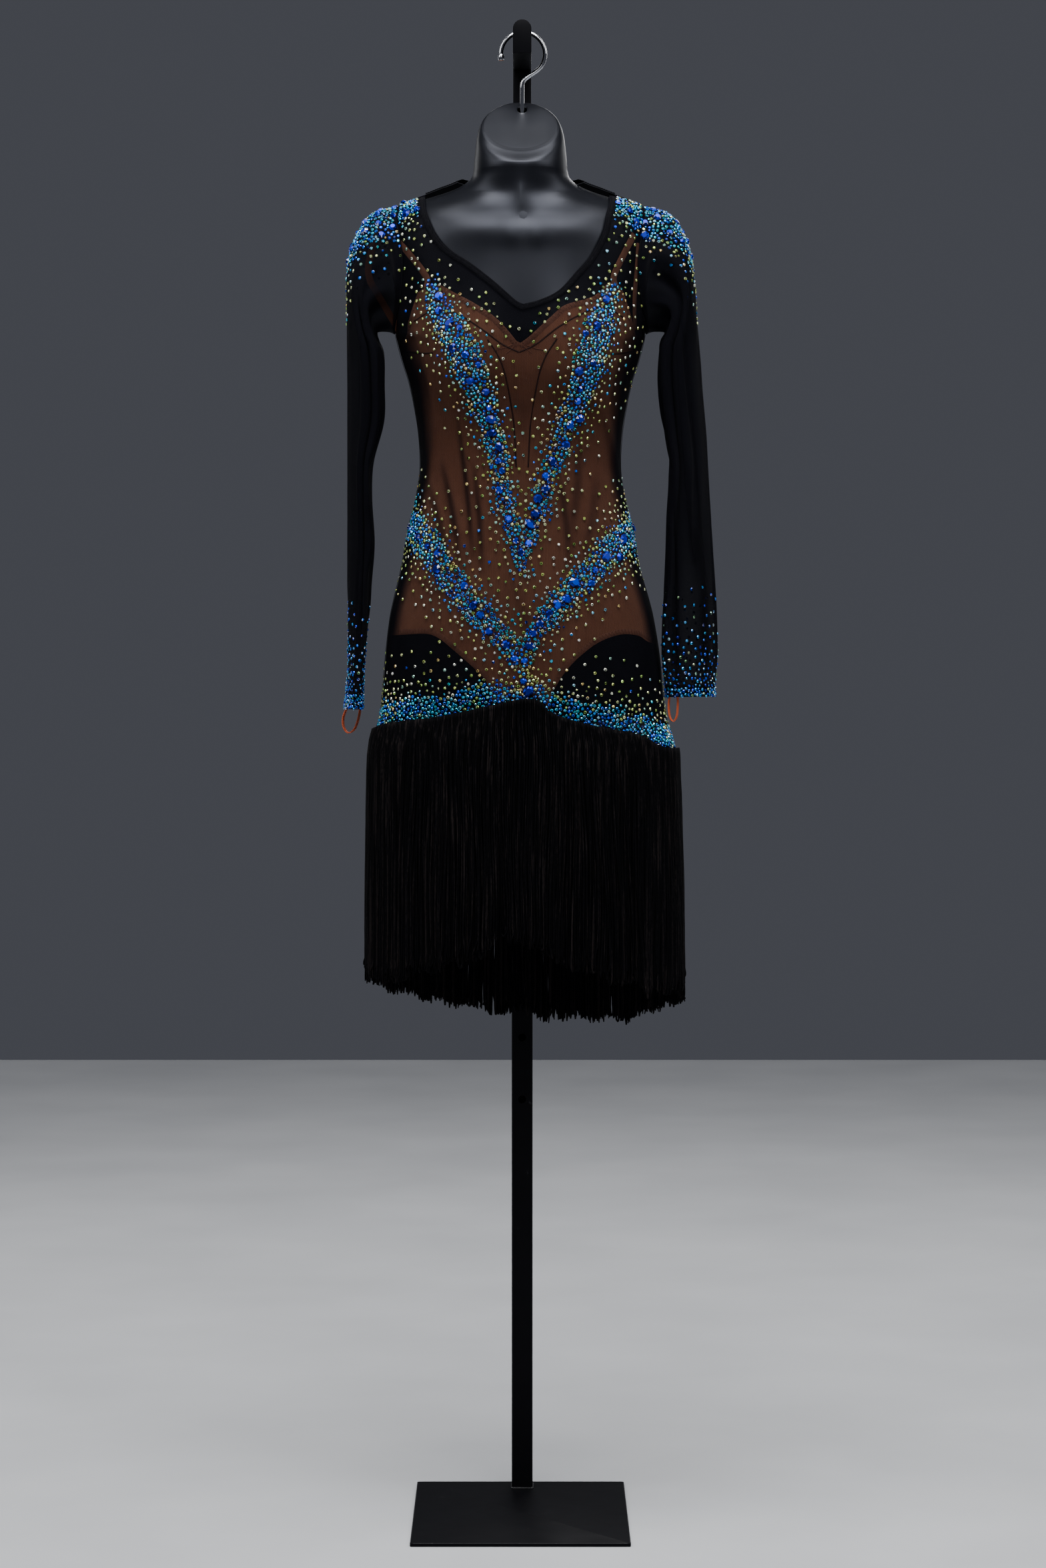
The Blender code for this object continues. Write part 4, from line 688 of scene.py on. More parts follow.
def trimmed(mesh, measure):
    """Cuts a surface where the measure is zero and keeps the part where it is more."""
    work = bmesh.new()
    work.from_mesh(mesh)
    value = dict(zip(work.verts, measure(np.array([v.co for v in work.verts]))))
    cut = []
    for edge in list(work.edges):
        a, b = edge.verts
        if value[a] * value[b] < 0:
            middle = bmesh.utils.edge_split(edge, a, value[a] / (value[a] - value[b]))[1]
            value[middle] = 0.0
            cut.append(middle)
    bmesh.ops.connect_verts(work, verts=cut)
    outside = [face for face in work.faces if sum(value[v] for v in face.verts) < 0]
    bmesh.ops.delete(work, geom=outside, context="FACES")
    work.to_mesh(mesh)
    work.free()
    return mesh


def woven(points, flip=False):
    """Cloth through a grid of points, with its threads laid out in metres from the middle column."""
    rows, columns = points.shape[:2]
    index = np.arange(rows * columns).reshape(rows, columns)
    a, b, c, d = index[:-1, :-1], index[:-1, 1:], index[1:, 1:], index[1:, :-1]
    mesh = mesh_of(points, np.stack([d, c, b, a] if flip else [a, b, c, d], -1).reshape(-1, 4))
    along = np.linalg.norm(np.diff(points, axis=1), axis=2).cumsum(axis=1)
    along = np.concatenate([np.zeros((rows, 1)), along], axis=1)
    along -= along[:, columns // 2:columns // 2 + 1]
    down = np.linalg.norm(np.diff(points, axis=0), axis=2).cumsum(axis=0)
    down = np.concatenate([np.zeros((1, columns)), down])
    corners = np.empty(len(mesh.loops), int)
    mesh.loops.foreach_get("vertex_index", corners)
    laid = np.stack([along, down], -1).reshape(-1, 2)[corners]
    mesh.uv_layers.new(name="threads").data.foreach_set("uv", laid.ravel())
    return mesh


def on_figure(z, turn, out):
    """Points that lie a distance out of the figure."""
    z, turn = np.broadcast_arrays(np.asarray(z, float), np.asarray(turn, float))
    return figure(z, turn) + outwards(z, turn) * np.asarray(out)[..., None]


def turn_at(x, z, behind=False):
    """Turn about the figure at which its front or its back lies in line with x, seen from ahead."""
    row = smooth_rows(FIGURE, z)
    share = np.clip((x - row[..., 2]) / row[..., 1], -1, 1)
    return np.arccos(np.sign(share) * np.abs(share) ** (row[..., 6] / 2)) * (-1 if behind else 1)


def laid(line, out, behind=False, steps=8):
    """A line of (x, z) points laid on the figure: its points and the directions out of them."""
    line = smoothed(line, steps)
    turn = turn_at(line[:, 0], line[:, 1], behind)
    return on_figure(line[:, 1], turn, np.full(len(line), out)), outwards(line[:, 1], turn)


def beside_line(points, normals):
    """Direction to the right of a line of points."""
    return unit(np.cross(np.gradient(points, axis=0), normals))


def strip(points, normals, width, lift=0.0003, crown=0.0004, steps=4):
    """Narrow band along a line: from the line to its right, domed by the crown across its width."""
    share = np.linspace(0, 1, steps + 1)[:, None, None]
    return woven(points + beside_line(points, normals) * width * share
                 + normals * (lift + crown * np.sin(np.pi * share)))


def run_of(points):
    """Distance of each point of a line from its start."""
    return np.concatenate([[0], np.linalg.norm(np.diff(points, axis=0), axis=1).cumsum()])


def picked_along(values, far, at):
    return np.stack([np.interp(at, far, values[:, k]) for k in range(3)], -1)


def zigzag(line, out, behind):
    """Points of the zigzag stitch that runs along an edge of (x, z) points."""
    points, normals = laid(line, out, behind, 40)
    far = run_of(points)
    at = np.arange(0, far[-1], ZIGZAG_PITCH / 2)
    places = picked_along(points, far, at)
    swing = np.where(np.arange(len(at)) % 2 == 0, 0.12, 0.88)[:, None]
    return places + beside_line(places, picked_along(normals, far, at)) * ELASTIC_WIDTH * swing


def creased(x, z, creases):
    """Height of soft creases over the figure."""
    height = np.zeros(np.shape(x))
    for x0, z0, x1, z1, width, rise in creases:
        way = np.array([x1 - x0, z1 - z0])
        t = np.clip(((x - x0) * way[0] + (z - z0) * way[1]) / (way @ way), 0, 1)
        bow = width * 0.6 * np.sin(np.pi * t)
        off = np.hypot(x - x0 - t * way[0] - bow, z - z0 - t * way[1])
        height += rise * np.exp(-(off / width) ** 2) * (0.15 + 3.4 * t * (1 - t))
    return height


def suit_panel(name, turns, creases, top, measure, node):
    z = np.arange(FORM_BOTTOM, top, CLOTH_STEP)[:, None]
    flat = figure(z, turns)
    mesh = woven(on_figure(z, turns, BODYSUIT_OUT + creased(flat[..., 0], flat[..., 2], creases)))
    return add_piece(name, trimmed(mesh, measure), brown_jersey, "form", [node], sharp=80)


suit_front = suit_panel("bodysuit_front_panel", np.linspace(0, np.pi, 151), CREASES_FRONT, 1.475,
                        inside(SUIT_SIDE_RIGHT, SUIT_CUP_RIGHT, SUIT_CUP_LEFT, SUIT_SIDE_LEFT, SUIT_LEG_LEFT,
                               SUIT_LEG_RIGHT), "bodysuit_front")
suit_back = suit_panel("bodysuit_back_panel", np.linspace(-np.pi, 0, 121), CREASES_BACK, 1.400,
                       inside(SUIT_BACK_TOP, SUIT_SEAT_LEFT, SUIT_SEAT_RIGHT), "bodysuit_back")


def trim(name, mesh, finish=brown_trim, nodes=()):
    add_piece(name, mesh, finish, "form", nodes)


for name, line in (
        ("cup_edge_right", SUIT_CUP_RIGHT[1:]), ("cup_edge_left", SUIT_CUP_LEFT),
        ("side_edge_right", SUIT_SIDE_RIGHT[1:]), ("side_edge_left", SUIT_SIDE_LEFT[:-1]),
        ("leg_edge_left", SUIT_LEG_LEFT[1:-1]), ("leg_edge_right", SUIT_LEG_RIGHT[1:-1]),
        ("back_edge", SUIT_BACK_TOP[-2:0:-1]), ("seat_edge_left", SUIT_SEAT_LEFT[-2:0:-1]),
        ("seat_edge_right", SUIT_SEAT_RIGHT[-2:0:-1])):
    behind = name.startswith(("back", "seat"))
    trim("suit_" + name, strip(*laid(line, BODYSUIT_OUT, behind), ELASTIC_WIDTH, 0.0002, 0.0005))
    stitches = zigzag(line, BODYSUIT_OUT + 0.0007, behind)
    trim("stitch_" + name, cord_mesh([stitches], STITCH_RADIUS, 4))
# Cup seams and front darts, as raised strips whose dark brown paints the shade in their folds.
for number, line in enumerate(SUIT_SEAMS, 1):
    seam = strip(*laid(line, BODYSUIT_OUT + 0.0001), SUIT_SEAM_WIDTH, 0.0001, 0.0006)
    trim(f"suit_seam_{number}", seam, brown_seam_shade)
# Gathers under the point of the front
gathers = [[(-0.0016 + 0.004 * k, 1.3835), (-0.0016 + 0.0095 * k, 1.3770 + 0.0012 * abs(k)),
            (-0.0016 + 0.0150 * k, 1.3700 + 0.0035 * abs(k))] for k in (-2, -1, 1, 2)]
trim("suit_gathers", cord_mesh([laid(line, BODYSUIT_OUT + 0.0001)[0] for line in gathers], GATHER_RADIUS, 6))
for name, node, line in STRAPS:
    points, normals = laid(line, BODYSUIT_OUT, steps=10)
    left_edge = points - beside_line(points, normals) * STRAP_WIDTH / 2
    trim(name, strip(left_edge, normals, STRAP_WIDTH, 0.0001, 0.0007), nodes=[node])
hanging = smoothed(SUIT_LOOSE_STRAP, 6)
thin = beside_line(hanging, [1.0, 0.35, 0.35])
wide = unit(np.cross(thin, np.gradient(hanging, axis=0)))
loops = [[point + across * STRAP_WIDTH * a + up * STRAP_HALF_THICKNESS * b for a, b in STRAP_OUTLINE]
         for point, across, up in zip(hanging, wide, thin)]
trim("loose_strap", lofted(loops, closed=False), nodes=["strap_side_right"])
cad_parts["bodysuit_gusset"].material_slots[0].material = brown_trim

# ---------------------------------------------------------------- mesh dress: body
# The dress itself is sheer black stretch mesh, cut in a front and a back that meet at the side and
# shoulder seams. It clings to the bodysuit and the form, with soft creases where it is pulled. The
# neck edge is turned over a narrow binding that is stitched down twice.

MESH_OUT = 0.0026
BINDING_WIDTH, SIDE_SEAM_WIDTH, HEM_TURN = 0.0075, 0.0044, 0.010
# Rows of stitches down the binding: how far from its edge
BINDING_STITCHES = {"upper": 0.0016, "lower": 0.0061}
ARMHOLE_Z, ARMHOLE_HEIGHT, ARMHOLE_DEPTH = 1.4795, 0.0748, 0.0473
NECK_CORNER_Z, NECK_BACK_Z = 1.5645, 1.577
NAPE_LIFT, NAPE_LIFT_FROM, NAPE_LIFT_OVER = 0.0042, 1.556, 0.014
SHOULDER_Z, SHOULDER_STEP = 1.530, 0.0016
STITCH_LENGTH, STITCH_BREAK = 0.0021, 0.0009
NECK_RIGHT = [(-0.1129, 1.58), (-0.1125, 1.558), (-0.1093, 1.542), (-0.1004, 1.5186), (-0.0841, 1.498),
              (-0.057, 1.479), (-0.0304, 1.4575), (-0.0063, 1.436), (0.003, 1.4307)]
NECK_LEFT = [(0.003, 1.4307), (0.0232, 1.436), (0.0445, 1.447), (0.0658, 1.471), (0.082, 1.49),
             (0.0958, 1.5185), (0.1003, 1.5405), (0.1045, 1.556), (0.1055, 1.58)]
HEM_FRONT = [(-0.18, 0.928), (-0.157, 0.941), (-0.098, 0.951), (-0.039, 0.964), (0.0, 0.972),
             (0.022, 0.971), (0.036, 0.957), (0.08, 0.942), (0.139, 0.928), (0.159, 0.915),
             (0.188, 0.91)]
HEM_BACK = [(-0.18, 0.928), (-0.12, 0.895), (0.0, 0.867), (0.12, 0.883), (0.188, 0.91)]
# Pitch of the threads, and how much the net covers between them and on them
NET_PITCH, DRESS_COVER = 0.0011, (0.40, 0.80)

net_black = new_finish("net_black", (0.0026, 0.0026, 0.0042), 0.9, Specular_IOR_Level=0.03)
net_trim = new_finish("net_trim", (0.004, 0.004, 0.006), 0.85, Specular_IOR_Level=0.04)
onto_shader(net_trim, Normal=relief(net_trim, grain(net_trim, 1100.0, 2.0), 0.0002),
            Base_Color=mottled(net_trim, [(0.45, (0.002, 0.002, 0.003)), (0.75, (0.006, 0.006, 0.008))],
                               500.0, 3.0, 0.7))


def calculated(finish, operation, *values):
    return put(finish, "Math", dict(enumerate(values)), operation=operation).outputs[0]


def threads(finish, coordinate):
    """1 on a thread and 0 between the threads."""
    aside = calculated(finish, "PINGPONG", calculated(finish, "MULTIPLY", coordinate, 1 / NET_PITCH), 0.5)
    return put(finish, "MapRange", {"Value": aside, "From Min": 0.17, "From Max": 0.27,
                                    "To Min": 1.0, "To Max": 0.0}).outputs["Result"]


def as_net(finish, open_cover, thread_cover):
    """Knits a finish as a net of fine crossed threads, denser where the painted attribute asks; beside
    creases and folds that attribute also holds painted shade.
    """
    turned = put(finish, "Mapping", {"Vector": put(finish, "UVMap").outputs["UV"],
                                     "Rotation": (0, 0, math.radians(38))}).outputs["Vector"]
    split = put(finish, "SeparateXYZ", {"Vector": turned}).outputs
    net = calculated(finish, "MAXIMUM", threads(finish, split["X"]), threads(finish, split["Y"]))
    cover = put(finish, "MapRange", {"Value": net, "To Min": open_cover,
                                     "To Max": thread_cover}).outputs["Result"]
    closeness_and_shade = put(finish, "Attribute", attribute_name="closeness_and_shade").outputs["Fac"]
    room = calculated(finish, "SUBTRACT", 0.96, cover)
    onto_shader(finish, Alpha=calculated(finish, "MULTIPLY_ADD", room, closeness_and_shade, cover),
                Normal=relief(finish, net, 0.00015))


as_net(net_black, *DRESS_COVER)


# The net's closeness, which beside creases and folds also holds painted shade.
def paint_closeness(mesh, values):
    layer = mesh.attributes.new("closeness_and_shade", "FLOAT", "POINT")
    layer.data.foreach_set("value", np.clip(values, 0, 1).astype(np.float32).ravel())


def hem_height(hem, x):
    return smooth_rows(hem, x)[..., 1]


def dress_shape(hem, *openings):
    """Measures how far points lie inside a panel, between its hem, the armholes and the openings."""
    def measure(points):
        reach = np.hypot(points[:, 1] / ARMHOLE_DEPTH, (points[:, 2] - ARMHOLE_Z) / ARMHOLE_HEIGHT)
        beside_arm = np.where(np.abs(points[:, 0]) > 0.08, (reach - 1) * ARMHOLE_DEPTH, 1.0)
        above_hem = points[:, 2] - hem_height(hem, points[:, 0]) + HEM_TURN
        return np.min([beside_arm, above_hem] + [-opening(points) for opening in openings], axis=0)
    return measure


def nape_lift(z, turn):
    """How far the neck edge stands off the tops of the shoulders behind."""
    share = np.clip((z - NAPE_LIFT_FROM) / NAPE_LIFT_OVER, 0, 1)
    return NAPE_LIFT * share * np.where(turn <= 0, 1, np.sin(turn) < 1e-6)


def dress_panel(name, turns, creases, hem, measure, node):
    z = np.concatenate([np.arange(0.850, SHOULDER_Z, CLOTH_STEP),
                        np.arange(SHOULDER_Z, NECK_BACK_Z, SHOULDER_STEP), [NECK_BACK_Z]])[:, None]
    flat, facing = figure(z, turns), outwards(z, turns)
    soft = 0.0003 * np.sin(41 * flat[..., 0] + 17 * flat[..., 2]) * np.sin(29 * flat[..., 2] - 1.3)
    out = MESH_OUT + creased(flat[..., 0], flat[..., 2], creases) + soft + nape_lift(z, turns)
    mesh = woven(flat + facing * out[..., None])
    edge = np.clip((0.62 - np.abs(facing[..., 1])) / 0.24, 0, 1)
    hemmed = flat[..., 2] < hem_height(hem, flat[..., 0]) + 0.004
    # The net is painted denser along each crease, shifted to one side of it: partly the bunched threads,
    # partly painted shade on that side of the crease.
    pulled = np.clip(creased(flat[..., 0] + 0.0025, flat[..., 2], creases) / 0.0055, 0, 0.58)
    paint_closeness(mesh, np.maximum(edge, 0.75 * hemmed) + pulled)
    return add_piece(name, trimmed(mesh, measure), net_black, "form", [node], sharp=180)


neck_opening = inside(NECK_RIGHT, NECK_LEFT, [(0.3, 1.70), (-0.3, 1.70)])
front_shape, back_shape = dress_shape(HEM_FRONT, neck_opening), dress_shape(HEM_BACK)
dress_front = dress_panel("dress_front", np.linspace(0, np.pi, 161), CREASES_FRONT, HEM_FRONT, front_shape,
                          "mesh_front")
dress_back = dress_panel("dress_back", np.linspace(-np.pi, 0, 141), CREASES_BACK, HEM_BACK, back_shape,
                         "mesh_back")


def sew(name, mesh, finish=net_trim, nodes=(), sharp=40):
    add_piece(name, mesh, finish, "form", nodes, sharp)


def stitch_row(points, normals, aside, out):
    """Row of straight stitches a distance aside from a line."""
    row = points + beside_line(points, normals) * aside + normals * out
    far = run_of(row)
    starts = np.arange(0, far[-1] - STITCH_LENGTH, STITCH_LENGTH + STITCH_BREAK)[:, None]
    at = starts + np.linspace(0, STITCH_LENGTH, 4)
    dip = np.array([-0.0002, 0.00008, 0.00008, -0.0002])[None, :, None]
    return cord_mesh(picked_along(row, far, at) + picked_along(normals, far, at) * dip, STITCH_RADIUS, 4)


# Neck edge: down the front in a V, and behind it along the shoulders and across the nape
front_edge = np.concatenate([smoothed(NECK_RIGHT), smoothed(NECK_LEFT)[1:]])
front_edge = front_edge[front_edge[:, 1] < NECK_CORNER_Z]
front_turn = turn_at(front_edge[:, 0], front_edge[:, 1])
rise = (NECK_BACK_Z - NECK_CORNER_Z) * np.linspace(0, 1, 9)
nape_turn = np.concatenate([np.full(9, np.pi), np.linspace(np.pi, 2 * np.pi, 90)[1:-1],
                            np.full(9, 2 * np.pi)])
nape_z = np.concatenate([NECK_CORNER_Z + rise, np.full(88, NECK_BACK_Z), NECK_BACK_Z - rise])
neck_edges = {
    "front": (on_figure(front_edge[:, 1], front_turn, np.full(len(front_turn), MESH_OUT)),
              outwards(front_edge[:, 1], front_turn)),
    "back": (on_figure(nape_z, nape_turn, MESH_OUT + nape_lift(nape_z, -nape_turn)),
             outwards(nape_z, nape_turn)),
}
for side, nodes in (("front", ["neck_binding"]), ("back", [])):
    sew("neck_binding_" + side, strip(*neck_edges[side], BINDING_WIDTH, 0.0002, 0.0007, 6), nodes=nodes)
for side, edge in neck_edges.items():
    for row, aside in BINDING_STITCHES.items():
        sew(f"neck_stitches_{side}_{row}", stitch_row(*edge, aside, 0.0008))

# Seams at the sides and under the arms, as narrow doubled strips of the mesh
z = np.linspace(0.925, ARMHOLE_Z - ARMHOLE_HEIGHT - 0.001, 120)
for side, turn, way in (("left", 0.0, 1), ("right", math.pi, -1)):
    line = on_figure(z, turn, np.full(len(z), MESH_OUT + 0.0002)) + [0, way * SIDE_SEAM_WIDTH / 2, 0]
    sew("side_seam_" + side, strip(line, outwards(z, turn), SIDE_SEAM_WIDTH, 0.0001, 0.0005))

# ---------------------------------------------------------------- mesh dress: sleeves
# Each long sleeve is one tube of the same mesh, sewn into its armhole, with a seam down the side
# next to the body and a narrow turned hem at the wrist. No arm fills them, so they hang flat, with
# long folds, the wearer's right one edge-on and the left one half turned.

CUFF_HEIGHT, SEAM_WIDTH, ARMHOLE_LIP = 0.012, 0.0032, 0.0042
ARMHOLE_SEAM_RADIUS, WRIST_EDGE_RADIUS = 0.0011, 0.0007
SLEEVE_COVER = (0.30, 0.76)
SLEEVE_STEPS, SLEEVE_ROWS = 108, 190
# edge beside the body x, z, outer edge x, z, half depth, turn in degrees
SLEEVE_RIGHT = [(0.156, 1.407, 0.1745, 1.5475, 0.0475, 0), (0.165, 1.4075, 0.189, 1.531, 0.049, 0),
                (0.1715, 1.406, 0.201, 1.504, 0.0505, 0), (0.1725, 1.401, 0.2055, 1.47, 0.0525, 0),
                (0.17, 1.393, 0.2058, 1.43, 0.0545, 4), (0.165, 1.38, 0.2055, 1.383, 0.056, 8),
                (0.1635, 1.34, 0.2053, 1.34, 0.056, 10), (0.164, 1.3, 0.2053, 1.3, 0.055, 10),
                (0.1765, 1.25, 0.2053, 1.25, 0.053, 8), (0.1783, 1.21, 0.2053, 1.21, 0.052, 8),
                (0.1755, 1.155, 0.2053, 1.155, 0.0495, 8), (0.179, 1.105, 0.2053, 1.105, 0.047, 8),
                (0.1812, 1.057, 0.2053, 1.057, 0.0445, 8), (0.1848, 1.005, 0.2062, 1.005, 0.042, 8),
                (0.1864, 0.959, 0.2102, 0.959, 0.04, 8)]
SLEEVE_LEFT = [(0.156, 1.407, 0.1745, 1.5475, 0.0475, 0), (0.165, 1.408, 0.189, 1.531, 0.049, 0),
               (0.1725, 1.407, 0.2005, 1.504, 0.0505, 0), (0.174, 1.402, 0.2055, 1.47, 0.0525, 0),
               (0.17, 1.395, 0.209, 1.425, 0.0545, 6), (0.1668, 1.382, 0.2125, 1.385, 0.056, 12),
               (0.1664, 1.34, 0.2155, 1.34, 0.056, 14), (0.1725, 1.285, 0.2197, 1.285, 0.0545, 15),
               (0.1778, 1.243, 0.2217, 1.243, 0.053, 15), (0.175, 1.183, 0.2247, 1.183, 0.05, 22),
               (0.1738, 1.133, 0.2277, 1.133, 0.048, 28), (0.1716, 1.083, 0.2306, 1.083, 0.046, 34),
               (0.1708, 1.04, 0.2318, 1.04, 0.044, 38), (0.1706, 1.0035, 0.2321, 1.0035, 0.0425, 40),
               (0.1718, 0.9734, 0.2323, 0.9734, 0.041, 40)]
# Folds: turn in degrees and distance down from, turn and distance to, half width, height
FOLDS_RIGHT = [(64, 0.02, 70, 0.5, 0.006, 0.003), (86, 0.1, 88, 0.44, 0.0045, -0.0065),
               (112, 0.03, 106, 0.24, 0.007, 0.005), (128, 0.0, 138, 0.2, 0.006, -0.004),
               (96, 0.26, 118, 0.36, 0.006, 0.0045), (74, 0.3, 66, 0.46, 0.005, -0.003),
               (160, 0.0, 174, 0.16, 0.007, 0.0035), (150, 0.14, 160, 0.42, 0.007, 0.003),
               (285, 0.02, 270, 0.46, 0.007, -0.0055), (250, 0.04, 256, 0.3, 0.007, 0.0045),
               (310, 0.08, 300, 0.48, 0.006, 0.0035), (215, 0.0, 205, 0.22, 0.008, 0.004),
               (340, 0.1, 345, 0.4, 0.009, 0.0016), (20, 0.08, 16, 0.44, 0.009, 0.0014)]
FOLDS_LEFT = [(100, 0.04, 62, 0.52, 0.0065, -0.008), (124, 0.02, 88, 0.5, 0.006, 0.0055),
              (138, 0.06, 112, 0.4, 0.005, -0.005), (150, 0.0, 140, 0.2, 0.006, 0.0045),
              (76, 0.02, 44, 0.34, 0.007, 0.004), (60, 0.0, 30, 0.28, 0.008, -0.003),
              (166, 0.02, 176, 0.24, 0.006, 0.004), (130, 0.28, 122, 0.5, 0.006, 0.004),
              (285, 0.02, 262, 0.48, 0.007, -0.006), (250, 0.04, 236, 0.36, 0.007, 0.0045),
              (312, 0.08, 300, 0.5, 0.006, 0.004), (215, 0.0, 205, 0.22, 0.008, 0.004),
              (338, 0.12, 340, 0.44, 0.01, 0.0018), (14, 0.1, 10, 0.46, 0.01, 0.0016)]

sleeve_black = new_finish("sleeve_black", (0.0026, 0.0026, 0.0042), 0.9, Specular_IOR_Level=0.03)
as_net(sleeve_black, *SLEEVE_COVER)


def tube_rings(rings, side):
    """Points of the rings of a hanging tube, from the armhole down; turn 0 is the outer side."""
    turn = np.arange(SLEEVE_STEPS) * 2 * np.pi / SLEEVE_STEPS
    y, z = -ARMHOLE_DEPTH * np.sin(turn), ARMHOLE_Z + ARMHOLE_HEIGHT * np.cos(turn)
    _, wide, shift, front, back, middle, power = smooth_rows(FIGURE, z).T
    share = np.minimum((y - middle) / (np.where(y < middle, front, back) - middle), 0.95)
    x = wide * (1 - share ** power) ** (1 / power) + shift * side
    found = [np.stack([side * (x + ARMHOLE_LIP), y, z], -1)]
    for inner_x, inner_z, outer_x, outer_z, deep, degrees in rings:
        inner, outer = np.array([inner_x, 0, inner_z]), np.array([outer_x, 0, outer_z])
        half, lean = np.linalg.norm(outer - inner) / 2, math.radians(degrees)
        short = math.sqrt(max(half ** 2 - (deep * math.sin(lean)) ** 2, 1e-6)) / math.cos(lean)
        a, b = short * np.cos(turn), deep * np.sin(turn)
        off = a * math.cos(lean) - b * math.sin(lean)
        back = -a * math.sin(lean) - b * math.cos(lean)
        ring = (inner + outer) / 2 + unit(outer - inner) * off[:, None] + np.array([0, 1, 0]) * back[:, None]
        found.append(ring * [side, 1, 1])
    return np.array(found)


def sleeve(name, rings, side, folds, upper, lower, thinner, node):
    """A sleeve with its seams; the last numbers say how dense its net looks above, below and outside."""
    steps, rows = SLEEVE_STEPS, SLEEVE_ROWS
    control = tube_rings(rings, side)
    gaps = np.linalg.norm(np.diff(control, axis=0), axis=2).mean(axis=1)
    far = np.concatenate([[0], gaps.cumsum()])
    down = np.linspace(0, far[-1], rows)
    table = np.concatenate([far[:, None], control.reshape(len(far), -1)], axis=1)
    grid = smooth_rows(table, down)[:, 1:].reshape(rows, steps, 3)
    around = np.roll(grid, -1, axis=1) - np.roll(grid, 1, axis=1)
    normal = unit(np.cross(np.gradient(grid, axis=0), around) * -side)
    girth = np.linalg.norm(around, axis=2).sum(axis=1) / 2
    turn = np.arange(steps) * 360 / steps
    heights, bunched_and_shaded = np.zeros((rows, steps)), np.zeros((rows, steps))
    for turn0, down0, turn1, down1, width, rise in folds:
        t = np.clip((down - down0) / (down1 - down0), 0, 1)
        wander = 5 * np.sin(9 * t + turn0) * t
        off = (turn - (turn0 + (turn1 - turn0) * t + wander)[:, None] + 180) % 360 - 180
        across = off / 360 * girth[:, None]
        past = np.maximum(down0 - down, down - down1).clip(0)
        fade = np.exp(-(past / 0.030) ** 2) * np.clip(down / 0.03, 0, 1)
        fade = (fade * np.clip((far[-1] - down) / 0.05, 0.25, 1))[:, None]
        heights += rise * (np.exp(-(across / width) ** 2) * fade)
        # Each fold also paints the net denser to one side of it: partly the bunched threads, partly painted
        # shade on that side of the fold.
        bunched_and_shaded += np.abs(rise) / 0.0045 * (np.exp(-((across + 0.5 * width) / (1.3 * width)) ** 2) * fade)
    grid = grid + normal * heights[..., None]
    closed, closed_normal = (np.concatenate([part, part[:, :1]], axis=1) for part in (grid, normal))
    mesh = woven(closed, flip=side > 0)
    seam = np.abs(turn % 360 - 180) / 360 * girth[:, None]
    dense = np.clip(bunched_and_shaded * 0.6, 0, 0.7) + 0.5 * (seam < 0.0022)
    dense += (upper + (lower - upper) * np.clip((down - 0.08) / 0.24, 0, 1))[:, None]
    outside = 0.5 + 0.5 * np.cos(np.radians(turn - 40))
    dense -= thinner * outside * np.clip((down - 0.14) / 0.12, 0, 1)[:, None]
    dense += 0.8 * (down > far[-1] - CUFF_HEIGHT)[:, None] + 0.7 * (down < 0.006)[:, None]
    paint_closeness(mesh, np.concatenate([dense, dense[:, :1]], axis=1))
    made = add_piece(name, mesh, sleeve_black, "form", [node], sharp=180)
    line, out = grid[::-side, steps // 2] + [0, SEAM_WIDTH / 2, 0], normal[::-side, steps // 2]
    sew(name + "_seam", strip(line, out, SEAM_WIDTH, 0.0002, 0.0006))
    sew(name + "_armhole_seam", cord_mesh([closed[0]], ARMHOLE_SEAM_RADIUS, 6))
    sew(name + "_wrist_edge", cord_mesh([closed[-1] + [0, 0, 0.0004]], WRIST_EDGE_RADIUS, 6))
    row = rows - 1 - int(round(CUFF_HEIGHT / (far[-1] / (rows - 1))))
    stitches = stitch_row(closed[row] + closed_normal[row] * 0.0005, closed_normal[0], 0.0, 0.0)
    sew(name + "_wrist_stitches", stitches)
    return made, grid, normal


sleeve_right, *right_cloth = sleeve("sleeve_right_tube", SLEEVE_RIGHT, -1, FOLDS_RIGHT, 0.38, 0.60, 0.0,
                                    "sleeve_right")
sleeve_left, *left_cloth = sleeve("sleeve_left_tube", SLEEVE_LEFT, 1, FOLDS_LEFT, 0.42, 0.50, 0.50,
                                  "sleeve_left")

# ---------------------------------------------------------------- finger loops
# A loop of narrow burnt orange elastic is sewn inside each wrist, and holds the cuff down over the
# hand when a finger goes through it. Both hang down loose.

LOOP_RIGHT = [(-0.207, 0.0, 0.965), (-0.207, 0.0, 0.9583), (-0.2105, -0.001, 0.948),
              (-0.21, -0.002, 0.937), (-0.2045, -0.0025, 0.93), (-0.1975, -0.002, 0.934),
              (-0.193, -0.001, 0.945), (-0.1905, 0.0, 0.9583), (-0.1905, 0.0, 0.965)]
LOOP_LEFT = [(0.176, -0.027, 0.98), (0.176, -0.027, 0.9727), (0.1752, -0.028, 0.962),
             (0.1765, -0.029, 0.95), (0.1805, -0.029, 0.9445), (0.1845, -0.028, 0.95),
             (0.186, -0.026, 0.962), (0.186, -0.024, 0.9727), (0.186, -0.024, 0.98)]
LOOP_ACROSS = np.array([0.35, 1, 0])
LOOP_WIDTH, LOOP_THICKNESS = 0.0064, 0.0011
# Half of the band's rounded outline, in widths and thicknesses
LOOP_EDGE = [(-0.5, 0), (-0.48, 0.35), (-0.43, 0.5), (-0.2, 0.46), (0.2, 0.46), (0.43, 0.5), (0.48, 0.35)]

